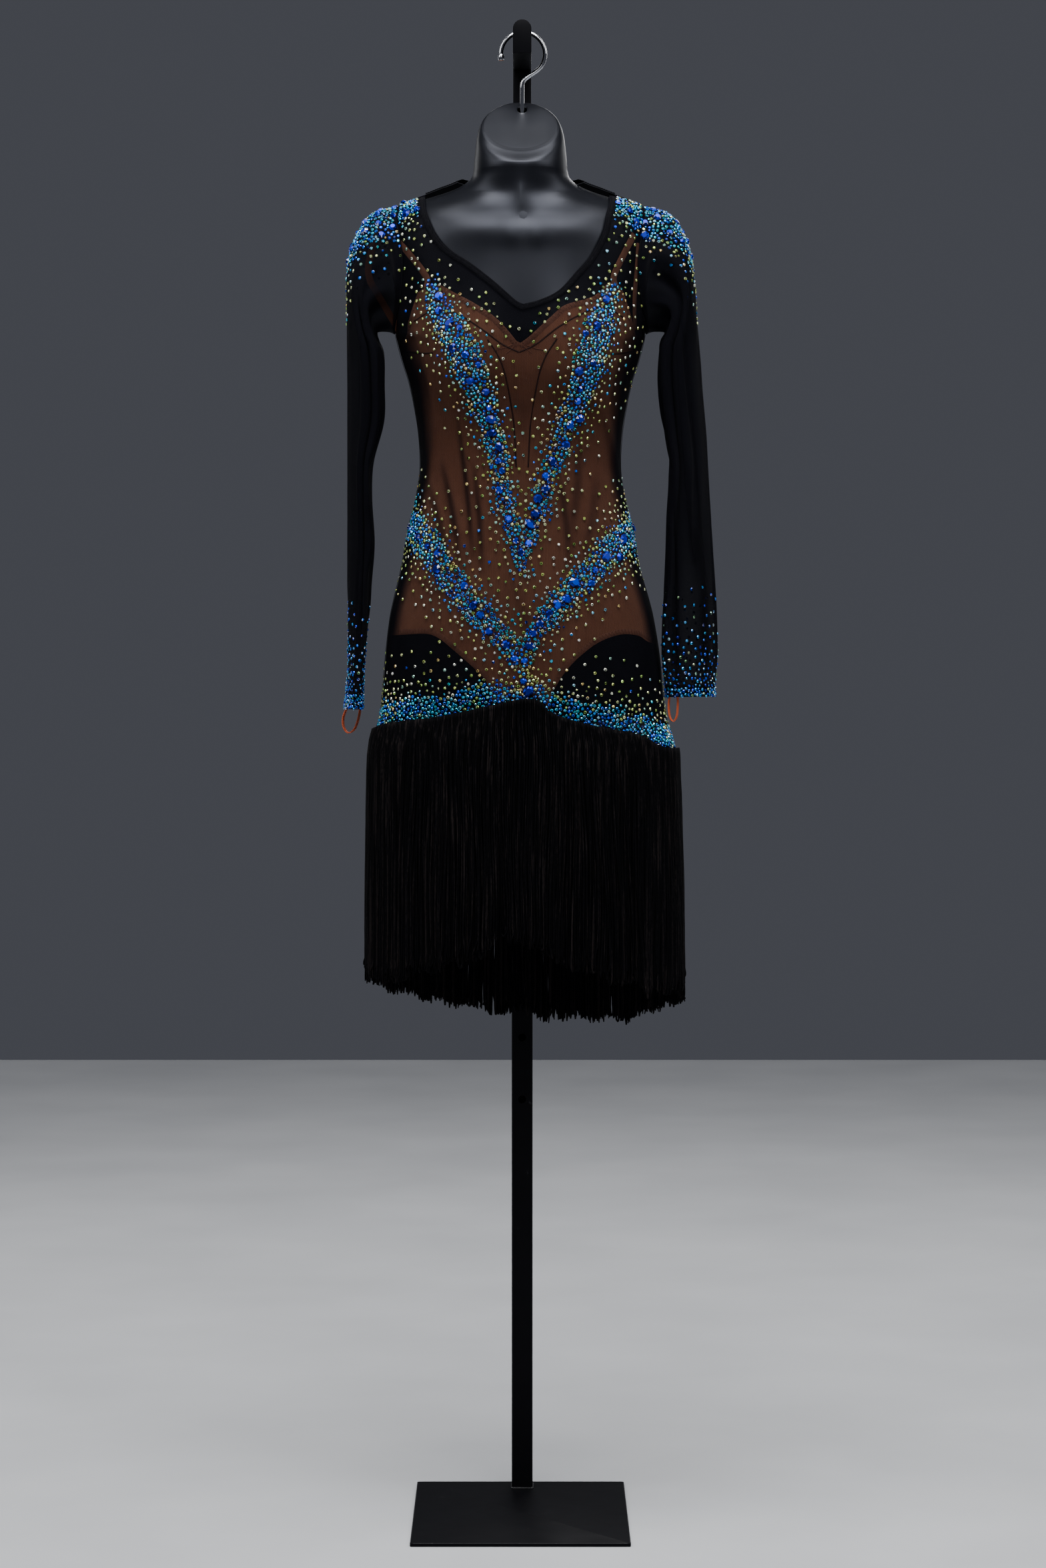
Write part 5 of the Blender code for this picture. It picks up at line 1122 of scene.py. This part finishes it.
orange_elastic = new_finish("orange_elastic", (0.50, 0.075, 0.018), 0.6, Specular_IOR_Level=0.25)
loop_uv = put(orange_elastic, "UVMap").outputs["UV"]
ribs, picks = (put(orange_elastic, "TexWave", {"Vector": loop_uv, "Scale": scale, "Distortion": wavy},
                   bands_direction=way).outputs["Fac"]
               for scale, wavy, way in ((210.0, 0.6, "Y"), (330.0, 0.8, "X")))
# The ribs that make the relief also colour the band, darker in their grooves and lighter on their ridges:
# painted shade and painted highlight.
onto_shader(orange_elastic,
            Normal=relief(orange_elastic, ribs, 0.0002, relief(orange_elastic, picks, 0.00015)),
            Base_Color=ramp(orange_elastic, ribs, [(0.2, (0.34, 0.045, 0.010)),
                                                   (0.8, (0.58, 0.095, 0.022))]))
outline = np.array(LOOP_EDGE + [(-a, -b) for a, b in LOOP_EDGE] + LOOP_EDGE[:1])
for side, path in (("right", LOOP_RIGHT), ("left", LOOP_LEFT)):
    path = smoothed(path, 8)
    travel = unit(np.gradient(path, axis=0))
    wide = unit(LOOP_ACROSS - travel * (travel @ LOOP_ACROSS)[:, None])[:, None]
    thin = np.cross(travel, wide[:, 0])[:, None]
    band = woven(path[:, None] + wide * (LOOP_WIDTH * outline[:, :1])
                 + thin * (LOOP_THICKNESS * outline[:, 1:]))
    add_piece("elastic_loop_" + side, band, orange_elastic, "form",
                                  ["finger_loop_" + side])

# ---------------------------------------------------------------- fringe
# The skirt is long black chainette fringe on a woven header, sewn over the turned hem all the way
# round, in three layers of separate cords. The cut ends curl and fray, and a few are uncut loops.

FRINGE_END_FRONT = [(-0.186, 0.648), (-0.16, 0.642), (-0.099, 0.659), (-0.051, 0.677), (-0.01, 0.694),
                    (0.05, 0.669), (0.124, 0.642), (0.155, 0.632), (0.198, 0.63)]
FRINGE_END_BACK = [(-0.186, 0.64), (-0.134, 0.611), (-0.078, 0.6), (-0.029, 0.589), (0.036, 0.582),
                   (0.126, 0.583), (0.158, 0.594), (0.198, 0.617)]
# The oval that the cords hang round at the foot: half width, shift, front, back, power
FOOT_WIDE, FOOT_SHIFT, FOOT_FRONT, FOOT_BACK, FOOT_POWER = 0.182, 0.005, -0.107, 0.094, 2.3
HEM_MEASURED_AT = 0.920
FRINGE_SEWN = 0.030
# How far out of the figure the header and each layer of cords lie
HEADER_OUT, FRINGE_LAYERS = 0.0041, (0.0044, 0.0058, 0.0073)
CORD_RADIUS, INNERMOST_THICKER, HEADER_WIDTH = 0.00118, 1.45, 0.007
CURLED_SHARE = 0.45
STRAY_CORDS, UNCUT_LOOPS = 16, 26
# Where the cords part and sink: x, half width, depth
PARTINGS = [(-0.022, 0.006, 0.006), (0.0575, 0.007, 0.0065), (-0.118, 0.006, 0.004),
            (0.128, 0.0055, 0.004)]
PARTINGS_BACK = [(-0.07, 0.007, 0.006), (0.034, 0.006, 0.006), (0.121, 0.006, 0.0045)]

chainette = new_finish("chainette", (0.003, 0.003, 0.004), 0.8, Specular_IOR_Level=0.04)
twist = grain(chainette, 420.0, 3.0, 0.6, (1, 1, 0.45))
by_cord = grain(chainette, 330.0, 2.0, 0.5, (1, 1, 0.012))
# The tone differs at random from cord to cord; the twist that makes the relief also lightens its raised
# parts, which is a painted highlight.
tone_and_highlight = put(chainette, "Mix", {"Factor": 0.3, "A": by_cord, "B": twist}).outputs["Result"]
onto_shader(chainette, Normal=relief(chainette, twist, 0.0005),
            Base_Color=ramp(chainette, tone_and_highlight, [
                (0.42, (0.0006, 0.0006, 0.0009)), (0.53, (0.0016, 0.0015, 0.0022)),
                (0.64, (0.010, 0.0078, 0.0078))]))
strewn = np.random.default_rng(7)


def foot_points(turn, out):
    """Points in plan that the fringe hangs round at its foot."""
    c, s = np.cos(turn), np.sin(turn)
    x = FOOT_WIDE * np.sign(c) * np.abs(c) ** (2 / FOOT_POWER)
    y = np.where(s >= 0, FOOT_FRONT, FOOT_BACK) * np.abs(s) ** (2 / FOOT_POWER)
    away = unit(np.stack([c / FOOT_WIDE, -s / FOOT_BACK], -1))
    return np.stack([FOOT_SHIFT + x, y], -1) + away * out


def hanging_cords(turns, hem, ends, out, partings, spread):
    """Paths of cords that hang from the hem at these turns."""
    count = len(turns)
    top = hem_height(hem, figure(HEM_MEASURED_AT, turns)[:, 0])
    foot = foot_points(turns, out)
    sway = 0.0035 * np.sin(7 * turns + 1.1) + 0.0010 * np.sin(17 * turns + 0.4) + 0.0004 * np.sin(43 * turns)
    length_off = 0.0035 * np.sin(23 * turns) + strewn.normal(0, 0.0030, count)
    end_z = smooth_rows(ends, foot[:, 0])[:, 1] + np.clip(length_off, -0.009, 0.012)
    paths = [on_figure(top - drop, turns, np.full(count, out)) for drop in (0, 0.006, 0.013, FRINGE_SEWN)]
    start = paths[-1]
    away = unit(outwards(np.full(count, 0.86), turns)[:, :2])
    aside = np.stack([-away[:, 1], away[:, 0]], -1)
    phase = 9 * turns + strewn.normal(0, 0.5, count)
    loose = strewn.normal(0, 1, count)
    for t in np.concatenate([np.linspace(0, 0.9, 11)[1:], np.linspace(0.9, 1, 9)[1:]]):
        place = start[:, :2] + (foot - start[:, :2]) * (1 - (1 - t) ** 2)
        shift = sway * t ** 1.3 + 0.0009 * loose * t + 0.0007 * np.sin(6.0 * t + phase) * spread
        dip = 0.0004 * np.sin(11 * t + 2.3 * phase)
        for at, wide, deep in partings:
            gap = place[:, 0] - at
            near = np.exp(-(gap / (3 * wide)) ** 2) * t
            shift = shift - np.sign(away[:, 1]) * 0.0035 * np.tanh(gap / wide) * near
            dip = dip - deep * np.exp(-(gap / wide) ** 2) * min(1, 1.6 * t)
        place = place + aside * shift[:, None] + away * dip[:, None]
        paths.append(np.column_stack([place, start[:, 2] + (end_z - start[:, 2]) * t]))
    paths = np.stack(paths, axis=1)
    curls = strewn.random(count) < CURLED_SHARE
    swirl = np.clip((np.arange(paths.shape[1]) - 14) / 8, 0, 1)[None, :]
    size = np.where(curls, strewn.uniform(0.0008, 0.0032, count), 0.0003)[:, None] * swirl ** 1.4
    spin = strewn.uniform(2.0, 6.5, count)[:, None] * swirl + strewn.uniform(0, 6.3, count)[:, None]
    paths[:, :, :2] += aside[:, None] * (size * np.cos(spin))[..., None] \
        + away[:, None] * (size * np.sin(spin))[..., None]
    paths[:, :, 2] += np.where(curls, strewn.uniform(0, 0.006, count), 0)[:, None] * swirl ** 2
    return paths


def uncut_loops(paths, count):
    """Short bends that join the ends of neighbouring cords."""
    bends = []
    for i in strewn.choice(len(paths) - 3, count, replace=False):
        a, b = paths[i, -3], paths[i + strewn.integers(1, 3), -3]
        deep = strewn.uniform(0.005, 0.013)
        bends.append([a + (b - a) * (1 - math.cos(math.pi * t)) / 2 - [0, 0, deep * math.sin(math.pi * t)]
                      for t in np.linspace(0, 1, 11)])
    return bends


def stray_cords(paths, count):
    """Cords that hang a little in front of the rest and cross them."""
    inner = np.flatnonzero(np.abs(paths[:, -1, 0]) < 0.13)
    stray = paths[strewn.choice(inner, count, replace=False)].copy()
    t = np.linspace(0, 1, stray.shape[1])[None, :]
    drift = strewn.normal(0, 0.0045, count)[:, None] * t ** 1.5
    stray[:, :, 0] += drift + 0.004 * np.sin(5 * t + strewn.uniform(0, 6.3, count)[:, None]) * t
    front = np.sign(stray[:, :, 1].mean(axis=1))[:, None]
    stray[:, :, 1] += front * 0.0022 * np.clip(4 * t, 0, 1)
    return stray


for side, hem, ends, partings, first_turn, count in (
        ("front", HEM_FRONT, FRINGE_END_FRONT, PARTINGS, 0.0, 268),
        ("back", HEM_BACK, FRINGE_END_BACK, PARTINGS_BACK, math.pi, 262)):
    layers = []
    for number, out in enumerate(FRINGE_LAYERS):
        turns = first_turn + (np.arange(count) + 0.5 + 0.33 * number) / count * math.pi
        turns = turns + strewn.normal(0, 0.12, count) * math.pi / count
        layers.append(hanging_cords(turns, hem, ends, out, partings, 1 + number))
    paths = np.concatenate(layers + [stray_cords(layers[-1], STRAY_CORDS)])
    radii = CORD_RADIUS * strewn.uniform(0.82, 1.12, len(paths))[:, None] * np.ones(paths.shape[1])
    radii[:count] *= INNERMOST_THICKER
    radii[:, -2:] *= [0.85, 0.6]
    points, faces = along_paths(paths, radii, 5)
    bend_points, bend_faces = along_paths(uncut_loops(layers[-1], UNCUT_LOOPS), CORD_RADIUS * 0.9, 5)
    cords = mesh_of(np.concatenate([points, bend_points]),
                    faces + [face + len(points) for face in bend_faces])
    sew("fringe_cords_" + side, cords, chainette, ["fringe_" + side], sharp=180)
    turns = np.linspace(first_turn + 0.01, first_turn + math.pi - 0.01, 160)[::-1]
    top = hem_height(hem, figure(HEM_MEASURED_AT, turns)[:, 0])
    header = on_figure(top, turns, np.full(len(turns), HEADER_OUT))
    sew("fringe_header_" + side, strip(header, outwards(top, turns), HEADER_WIDTH, 0.0, 0.0006))

# ---------------------------------------------------------------- stones
# Thousands of flat-backed glass stones are glued to the mesh: deep blue, azure and teal ones packed
# in stripes with large sapphire stones down their middles, and pale green ones with a rainbow
# coating scattered around them. Small ones also edge the hem, the wrists and the shoulders. Each
# facet is painted brighter or darker at random, some nearly white, as painted glints and reflections.

STONE_LIFT = 0.0003
# Share of a stripe's half width that is packed full
CORE_SHARE = 0.66
# Clear of stones: along the V of the neck, and along the nape
CLEAR_OF_NECK, CLEAR_OF_NAPE = 0.0090, 0.0095
# Stripes: points (x, z, half width), and the reach of the stones scattered around each
FRONT_STRIPES = [
    ([(-0.1024, 1.4491, 0.011), (-0.0916, 1.4251, 0.021), (-0.07, 1.3852, 0.028),
      (-0.054, 1.3452, 0.025), (-0.037, 1.2972, 0.02), (-0.0265, 1.2623, 0.017),
      (-0.0215, 1.2305, 0.0155), (-0.0165, 1.1983, 0.015), (-0.009, 1.175, 0.016), (-0.003, 1.15, 0.013),
      (0.003, 1.118, 0.008)], 0.03),
    ([(0.1059, 1.4491, 0.011), (0.0922, 1.4119, 0.023), (0.08, 1.3716, 0.026), (0.07, 1.332, 0.022),
      (0.0549, 1.2972, 0.019), (0.0455, 1.2654, 0.016), (0.0335, 1.2382, 0.015), (0.0225, 1.1987, 0.014),
      (0.011, 1.168, 0.013), (0.003, 1.13, 0.005)], 0.03),
    ([(-0.14, 1.187, 0.024), (-0.1268, 1.1741, 0.024), (-0.1107, 1.1578, 0.024),
      (-0.0949, 1.1337, 0.023), (-0.0759, 1.1042, 0.022), (-0.0599, 1.0832, 0.022),
      (-0.0413, 1.0646, 0.021), (-0.0172, 1.0405, 0.018), (-0.0036, 1.0187, 0.015)], 0.038),
    ([(0.14, 1.179, 0.024), (0.1273, 1.1664, 0.024), (0.1061, 1.1473, 0.023), (0.0792, 1.1182, 0.022),
      (0.0496, 1.0887, 0.021), (0.0298, 1.0646, 0.019), (0.0151, 1.0482, 0.017),
      (-0.0009, 1.0218, 0.015)], 0.038),
    ([(0.002, 1.024, 0.013), (0.006, 0.99, 0.012), (0.0069, 0.969, 0.016)], 0.02),
    ([(-0.11, 1.556, 0.017), (-0.15, 1.542, 0.018), (-0.177, 1.522, 0.02),
      (-0.187, 1.503, 0.02)], 0.046),
    ([(0.101, 1.556, 0.016), (0.13, 1.543, 0.018), (0.163, 1.524, 0.02), (0.181, 1.503, 0.02)], 0.046),
]
BACK_STRIPES = [
    ([(-0.14, 1.187, 0.019), (-0.115, 1.162, 0.018), (-0.082, 1.138, 0.016), (-0.042, 1.112, 0.014),
      (0.0, 1.088, 0.013)], 0.038),
    ([(0.14, 1.179, 0.018), (0.116, 1.16, 0.018), (0.083, 1.135, 0.016), (0.043, 1.11, 0.014),
      (0.0, 1.088, 0.013)], 0.038),
    ([(-0.11, 1.565, 0.018), (-0.15, 1.546, 0.018), (-0.177, 1.526, 0.02), (-0.187, 1.505, 0.02)], 0.03),
    ([(0.101, 1.565, 0.018), (0.13, 1.55, 0.018), (0.163, 1.53, 0.02), (0.181, 1.505, 0.02)], 0.03),
]
# Rows of scattered stones along the cup edges and straps, and the reach of each
SCATTER_LINES = [
    ([(-0.112, 1.47), (-0.13, 1.496), (-0.15, 1.52)], 0.016),
    ([(0.112, 1.472), (0.122, 1.494), (0.138, 1.52)], 0.016),
    ([(-0.058, 1.445), (-0.034, 1.425), (-0.015, 1.398)], 0.014),
    ([(0.06, 1.447), (0.036, 1.424), (0.012, 1.398)], 0.014),
]
HEM_STONES, HEM_SCATTER = 0.024, 0.060
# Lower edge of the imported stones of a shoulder, on the outer side of the sleeve
SHOULDER_STONES_Z, SHOULDER_SCATTER = 1.478, 0.062
SMALL_SIZES, SMALL_SPACING = [0.0021, 0.0018, 0.00155, 0.0013], 2.12
LARGE_ON_BODY, LARGE_ON_SLEEVE = [0.0058, 0.0050, 0.0042], [0.0056, 0.0048, 0.0042]
LARGE_SHARES = [0.3, 0.4, 0.3]
# Distance between the large stones of a stripe and of a shoulder
STRIPE_GAP, SHOULDER_GAP = 0.0155, 0.0165
BLUES = [(0.0, 0.05, 0.55), (0.0, 0.13, 0.8), (0.0, 0.28, 0.85), (0.0, 0.4, 0.62), (0.02, 0.56, 0.9),
         (0.0, 0.02, 0.26), (0.0, 0.3, 0.34), (0.16, 0.62, 0.92)]
BLUE_SHARES = [0.11, 0.17, 0.20, 0.11, 0.19, 0.06, 0.05, 0.11]
PALES = [(0.52, 0.66, 0.16), (0.68, 0.78, 0.34), (0.32, 0.52, 0.12), (0.82, 0.88, 0.66),
         (0.8, 0.56, 0.2), (0.34, 0.66, 0.5), (0.16, 0.24, 0.06), (0.2, 0.46, 0.62)]
PALE_SHARES = [0.27, 0.21, 0.15, 0.12, 0.08, 0.08, 0.06, 0.03]
SAPPHIRES = [(0.000, 0.026, 0.60), (0.008, 0.060, 0.85), (0.000, 0.014, 0.40)]
# Where the stones are all pale: x, z, reach in x, reach in z
PALE_PATCH = (0.0055, 0.9980, 0.0150, 0.0200)
# Below this height the stones of the cuffs are of a deeper blue
CUFFS_BELOW, CUFF_TINT = 1.2, (0.30, 0.50, 0.85)

# The stones' colour comes from an attribute that holds their own colour together with painted glints and
# reflections.
stone_glass = new_finish("stone_glass", (0.1, 0.3, 0.8), 0.15, Metallic=0.6, IOR=1.5,
                         Specular_IOR_Level=0.35)
onto_shader(stone_glass, Base_Color=put(stone_glass, "Attribute", attribute_name="stone_tint_and_glints").outputs["Color"])
glued = np.random.default_rng(19)


def beside(points, line):
    """Distance of points from a line of (x, z) points, how far along it, and its half width there."""
    line, run = np.asarray(line, float), 0.0
    near, along, half = np.full(len(points), 9.0), np.zeros(len(points)), np.zeros(len(points))
    for a, b in zip(line[:-1], line[1:]):
        way = (b - a)[:2]
        t = np.clip(((points[:, [0, 2]] - a[:2]) @ way) / (way @ way), 0, 1)
        far = np.linalg.norm(points[:, [0, 2]] - a[:2] - t[:, None] * way, axis=1)
        closer = far < near
        near = np.where(closer, far, near)
        along = np.where(closer, run + t * np.linalg.norm(way), along)
        half = np.where(closer, a[-1] + (b[-1] - a[-1]) * t, half)
        run += np.linalg.norm(way)
    return near, along, half


def facet_shape(sides, crown):
    """A flat-backed stone: corners of its rim and its table, its facets, and the table's corners."""
    turn, step = np.arange(sides) * 2 * np.pi / sides, np.pi / sides
    rim = np.stack([np.cos(turn), np.sin(turn), np.zeros(sides)], -1)
    table = 0.56 * np.stack([np.cos(turn + step), np.sin(turn + step), np.full(sides, crown / 0.56)], -1)
    k = np.arange(sides)
    n = (k + 1) % sides
    facets = np.concatenate([np.stack([k, n, k + sides], -1), np.stack([n, n + sides, k + sides], -1)])
    return np.concatenate([rim, table]), facets, k + sides


def set_stones(name, places, normals, sizes, colors, sides, glints, table_reflections, flares, stretch=1.0):
    """Glues stones on, each facet painted a brightness of its own that stands for the glints and reflections
    of the glass: glints are the shares of the facets from dark to bright, table_reflections how bright the
    flats are painted, and flares the share painted nearly white."""
    corners, facets, table = facet_shape(sides, 0.55)
    count = len(places)
    normals = unit(normals + glued.normal(0, 0.07, normals.shape))
    spin = glued.uniform(0, 2 * np.pi, count)[:, None]
    side = unit(np.cross(normals, [0.0, 0.0, 1.0]) + 1e-9)
    u = side * np.cos(spin) + np.cross(normals, side) * np.sin(spin)
    points = (places + normals * STONE_LIFT)[:, None] \
        + u[:, None] * (corners[None, :, :1] * (sizes * stretch)[:, None, None]) \
        + np.cross(normals, u)[:, None] * (corners[None, :, 1:2] * sizes[:, None, None]) \
        + normals[:, None] * (corners[None, :, 2:] * (sizes * 0.95)[:, None, None])
    base = np.arange(count)[:, None, None] * len(corners)
    mesh = mesh_of(points, list((facets + base).reshape(-1, 3)) + list(table + base[:, 0]))
    # Painted glints: each facet is made darker or brighter at random, and some nearly white, in place of
    # reflections on the glass.
    bright = glued.choice([0.15, 0.55, 1.1, 1.9], (count, len(facets)), p=glints)
    flare = glued.random((count, len(facets))) < flares
    shade = np.where(flare[..., None], 0.35 * colors[:, None] + 0.60, colors[:, None] * bright[..., None])
    # Painted reflection on the flat top of each stone: darker or brighter at random.
    face = colors * glued.choice(table_reflections, count, p=[0.38, 0.27, 0.22, 0.13])[:, None]
    by_face = np.concatenate([shade.reshape(-1, 3), face]).clip(0, 0.95)
    by_corner = np.repeat(by_face, [3] * (count * len(facets)) + [sides] * count, axis=0)
    layer = mesh.color_attributes.new(name="stone_tint_and_glints", type="FLOAT_COLOR", domain="CORNER")
    layer.data.foreach_set("color", np.column_stack([by_corner, np.ones(len(by_corner))]).ravel())
    return add_piece(name, mesh, stone_glass, "form", sharp=8)


def picked(palette, shares, count):
    return np.array(palette)[glued.choice(len(palette), count, p=np.array(shares) / sum(shares))]


def large_stones(name, places, normals, sizes, stretch=1.0):
    """Eight-sided sapphire stones, some of them longer than wide."""
    # Their facets and flats get painted glints and reflections.
    return set_stones(name + "_large", places, normals, sizes,
                      picked(SAPPHIRES, [0.4, 0.3, 0.3], len(sizes)), 8, (0.42, 0.33, 0.17, 0.08),
                      [0.40, 0.65, 1.0, 1.5], 0.13, stretch)


class Setting:
    """Stones already set on one side of the cloth, kept in cubes so that neighbours are found fast."""

    CUBE = 0.0070

    def __init__(self):
        self.cells = {}

    def settle(self, places, sizes, room):
        """Sets stones one after another where no other is in the way; gives back which were set."""
        kept = []
        steps = [(a, b, c) for a in (-1, 0, 1) for b in (-1, 0, 1) for c in (-1, 0, 1)]
        keys = (places // self.CUBE).astype(int)
        for i, ((x, y, z), size, gap, key) in enumerate(zip(places, sizes, room, keys)):
            free = not any((px - x) ** 2 + (py - y) ** 2 + (pz - z) ** 2 < max(size + other, gap) ** 2
                           for a, b, c in steps
                           for px, py, pz, other in self.cells.get((key[0] + a, key[1] + b, key[2] + c), ()))
            if free and gap > self.CUBE and kept:
                near = places[kept] - places[i]
                free = (near * near).sum(axis=1).min() > gap * gap
            if free:
                kept.append(i)
                self.cells.setdefault(tuple(key), []).append((x, y, z, size))
        return np.array(kept, int)


def small_stones(name, taken, places, normals, inside_by, far_by, blue_share, thinning):
    """Sets small stones: packed where inside_by is below zero, and thinning out to far_by."""
    parts = []

    def set_down(tried, sizes, room):
        which = taken.settle(places[tried], sizes, room)
        kept = tried[which]
        blue = glued.random(len(kept)) < blue_share(inside_by[kept], places[kept])
        parts.append((places[kept], normals[kept], sizes[which],
                      np.where(blue[:, None], picked(BLUES, BLUE_SHARES, len(kept)),
                               picked(PALES, PALE_SHARES, len(kept)))))
        return kept

    packed = inside_by < 0
    for size in SMALL_SIZES:
        pick = np.flatnonzero(packed)
        glued.shuffle(pick)
        pick = pick[:int(len(pick) * 0.8)]
        sizes = np.full(len(pick), size) * glued.uniform(0.94, 1.04, len(pick))
        packed[set_down(pick, sizes, sizes * SMALL_SPACING)] = False
    loose = np.flatnonzero((inside_by >= 0) & (far_by < 1))
    glued.shuffle(loose)
    spread = (0.0040 + thinning * far_by[loose].clip(0) ** 1.3) * glued.uniform(0.85, 1.30, len(loose))
    sizes = np.where(glued.random(len(loose)) < 1.3 * far_by[loose] + 0.35, 0.00200, 0.00145)
    set_down(loose, sizes * glued.uniform(0.9, 1.05, len(loose)), spread)
    places, normals, sizes, colors = (np.concatenate(part) for part in zip(*parts))
    if "sleeve" in name:
        colors = colors * np.where(places[:, 2:] < CUFFS_BELOW, [CUFF_TINT], 1.0)
    # Their facets and flats get painted glints and reflections.
    return set_stones(name, places, normals, sizes, colors, 6, (0.22, 0.28, 0.34, 0.16),
                      [0.10, 0.30, 0.9, 1.4], 0.09)


def body_blue(inside_by, at):
    x, z, wide, tall = PALE_PATCH
    pale = np.exp(-((at[:, 0] - x) / wide) ** 2 - ((at[:, 2] - z) / tall) ** 2)
    share = np.interp(inside_by, [-0.012, -0.006, 0.000, 0.005, 0.012, 0.03],
                      [0.92, 0.84, 0.66, 0.38, 0.13, 0.04])
    return share * (1 - pale)


def body_stones(name, low_turn, high_turn, stripes, scatter, hem, creases, shape, tries):
    """Stones along the stripes, the rows and the hem of the front or the back."""
    turn = glued.uniform(low_turn, high_turn, tries)
    z = glued.uniform(min(height for _, height in hem), NECK_BACK_Z, tries)
    flat = figure(z, turn)
    inside_by, far_by = np.full(tries, 9.0), np.full(tries, 9.0)
    for line, reach in stripes:
        near, along, half = beside(flat, line)
        ripple = 0.0016 * np.sin(along * 260 + half * 900) + 0.0014 * np.sin(along * 121 + 2)
        inside_by = np.minimum(inside_by, near - CORE_SHARE * half - ripple)
        far_by = np.minimum(far_by, (near - CORE_SHARE * half) / (reach + (1 - CORE_SHARE) * half))
    above = flat[:, 2] - hem_height(hem, flat[:, 0])
    inside_by = np.minimum(inside_by, above - HEM_STONES - 0.003 * np.sin(flat[:, 0] * 90)
                           - 0.002 * np.sin(flat[:, 0] * 231))
    far_by = np.minimum(far_by, (above - HEM_STONES) / HEM_SCATTER)
    for line, reach in scatter:
        far_by = np.minimum(far_by, 0.35 + 0.65 * beside(flat, line)[0] / reach)
    use = (far_by < 1) & (above > -0.002) & (glued.random(tries) < np.where(inside_by < 0, 1.0, 0.20))
    turn, z, inside_by, far_by = turn[use], z[use], inside_by[use], far_by[use]
    flat, facing = figure(z, turn), outwards(z, turn)
    places = flat + facing * (MESH_OUT + creased(flat[:, 0], flat[:, 2], creases))[:, None]
    flat = places - facing * MESH_OUT
    clear = (shape(flat) > 0.0004) & (neck_opening(flat) < -CLEAR_OF_NECK) \
        & (flat[:, 2] < NECK_BACK_Z - CLEAR_OF_NAPE)
    places, facing, inside_by, far_by = places[clear], facing[clear], inside_by[clear], far_by[clear]
    middles = []
    for line, _ in stripes:
        near, along, half = beside(places, line)
        for step in np.arange(0.012, along.max() - 0.004, STRIPE_GAP):
            at = step + glued.normal(0, 0.003)
            score = np.abs(along - at) + np.abs(near - abs(glued.normal(0, 0.26)) * half)
            if score.min() < 0.004:
                middles.append(score.argmin())
    middles, taken = np.array(middles), Setting()
    sizes = glued.choice(LARGE_ON_BODY, len(middles), p=LARGE_SHARES)
    kept = taken.settle(places[middles], sizes, sizes * 2)
    stretch = glued.choice([1.0, 1.25, 1.0], len(kept))
    large = large_stones(name, places[middles[kept]], facing[middles[kept]], sizes[kept], stretch)
    return [large, small_stones(name, taken, places, facing, inside_by, far_by, body_blue, 0.0135)]


front_stones = body_stones("stones_front", 0, np.pi, FRONT_STRIPES, SCATTER_LINES, HEM_FRONT, CREASES_FRONT,
                           front_shape, 260000)
back_stones = body_stones("stones_back", -np.pi, 0, BACK_STRIPES, [], HEM_BACK, CREASES_BACK, back_shape,
                          200000)


def sleeve_blue(inside_by, at):
    arm = np.interp(inside_by, [-0.015, 0.0, 0.02, 0.08], [0.90, 0.72, 0.40, 0.35])
    return np.where(at[:, 2] < CUFFS_BELOW, np.interp(inside_by, [-0.01, 0.03], [0.97, 0.86]), arm)


def sleeve_stones(name, grid, normal, cuff_band, cuff_reach, tries=60000):
    """Stones packed over the shoulder end and the wrist of a sleeve, thinning out between them."""
    rows, steps = grid.shape[:2]
    at_row, at_step = glued.uniform(0, rows - 1.001, tries), glued.uniform(0, steps, tries)
    r, s = at_row.astype(int), at_step.astype(int)
    fr, fs, n = (at_row - r)[:, None], (at_step - s)[:, None], (s + 1) % steps
    places, facing = (field[r, s] * (1 - fr) * (1 - fs) + field[r + 1, s] * fr * (1 - fs)
                      + field[r, n] * (1 - fr) * fs + field[r + 1, n] * fr * fs for field in (grid, normal))
    facing = unit(facing)
    turn = np.abs((at_step / steps * 360 + 180) % 360 - 180)
    wrist = places[:, 2] - grid[-1, :, 2].mean()
    head = SHOULDER_STONES_Z + 0.050 * np.clip((turn - 20) / 70, 0, 1.6) - places[:, 2]
    inside_by = np.minimum(wrist - cuff_band, head)
    far_by = np.minimum((wrist - cuff_band) / cuff_reach, head / SHOULDER_SCATTER)
    use = (far_by < 1) & (glued.random(tries) < np.where(inside_by < 0, 1.0, 0.25))
    places, facing, inside_by, far_by = places[use], facing[use], inside_by[use], far_by[use]
    topmost, taken = np.flatnonzero((inside_by < -0.010) & (places[:, 2] > CUFFS_BELOW)), Setting()
    glued.shuffle(topmost)
    sizes = glued.choice(LARGE_ON_SLEEVE, len(topmost), p=LARGE_SHARES)
    kept = taken.settle(places[topmost], sizes, np.full(len(topmost), SHOULDER_GAP))
    large = large_stones(name, places[topmost[kept]], facing[topmost[kept]], sizes[kept])
    return [large, small_stones(name, taken, places, facing, inside_by, far_by, sleeve_blue, 0.012)]


right_stones = sleeve_stones("stones_sleeve_right", *right_cloth, 0.016, 0.110)
left_stones = sleeve_stones("stones_sleeve_left", *left_cloth, 0.010, 0.120)

# ---------------------------------------------------------------- sizes
# The box round the finished dress on its stand, in metres, with its low corner first.

low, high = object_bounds()
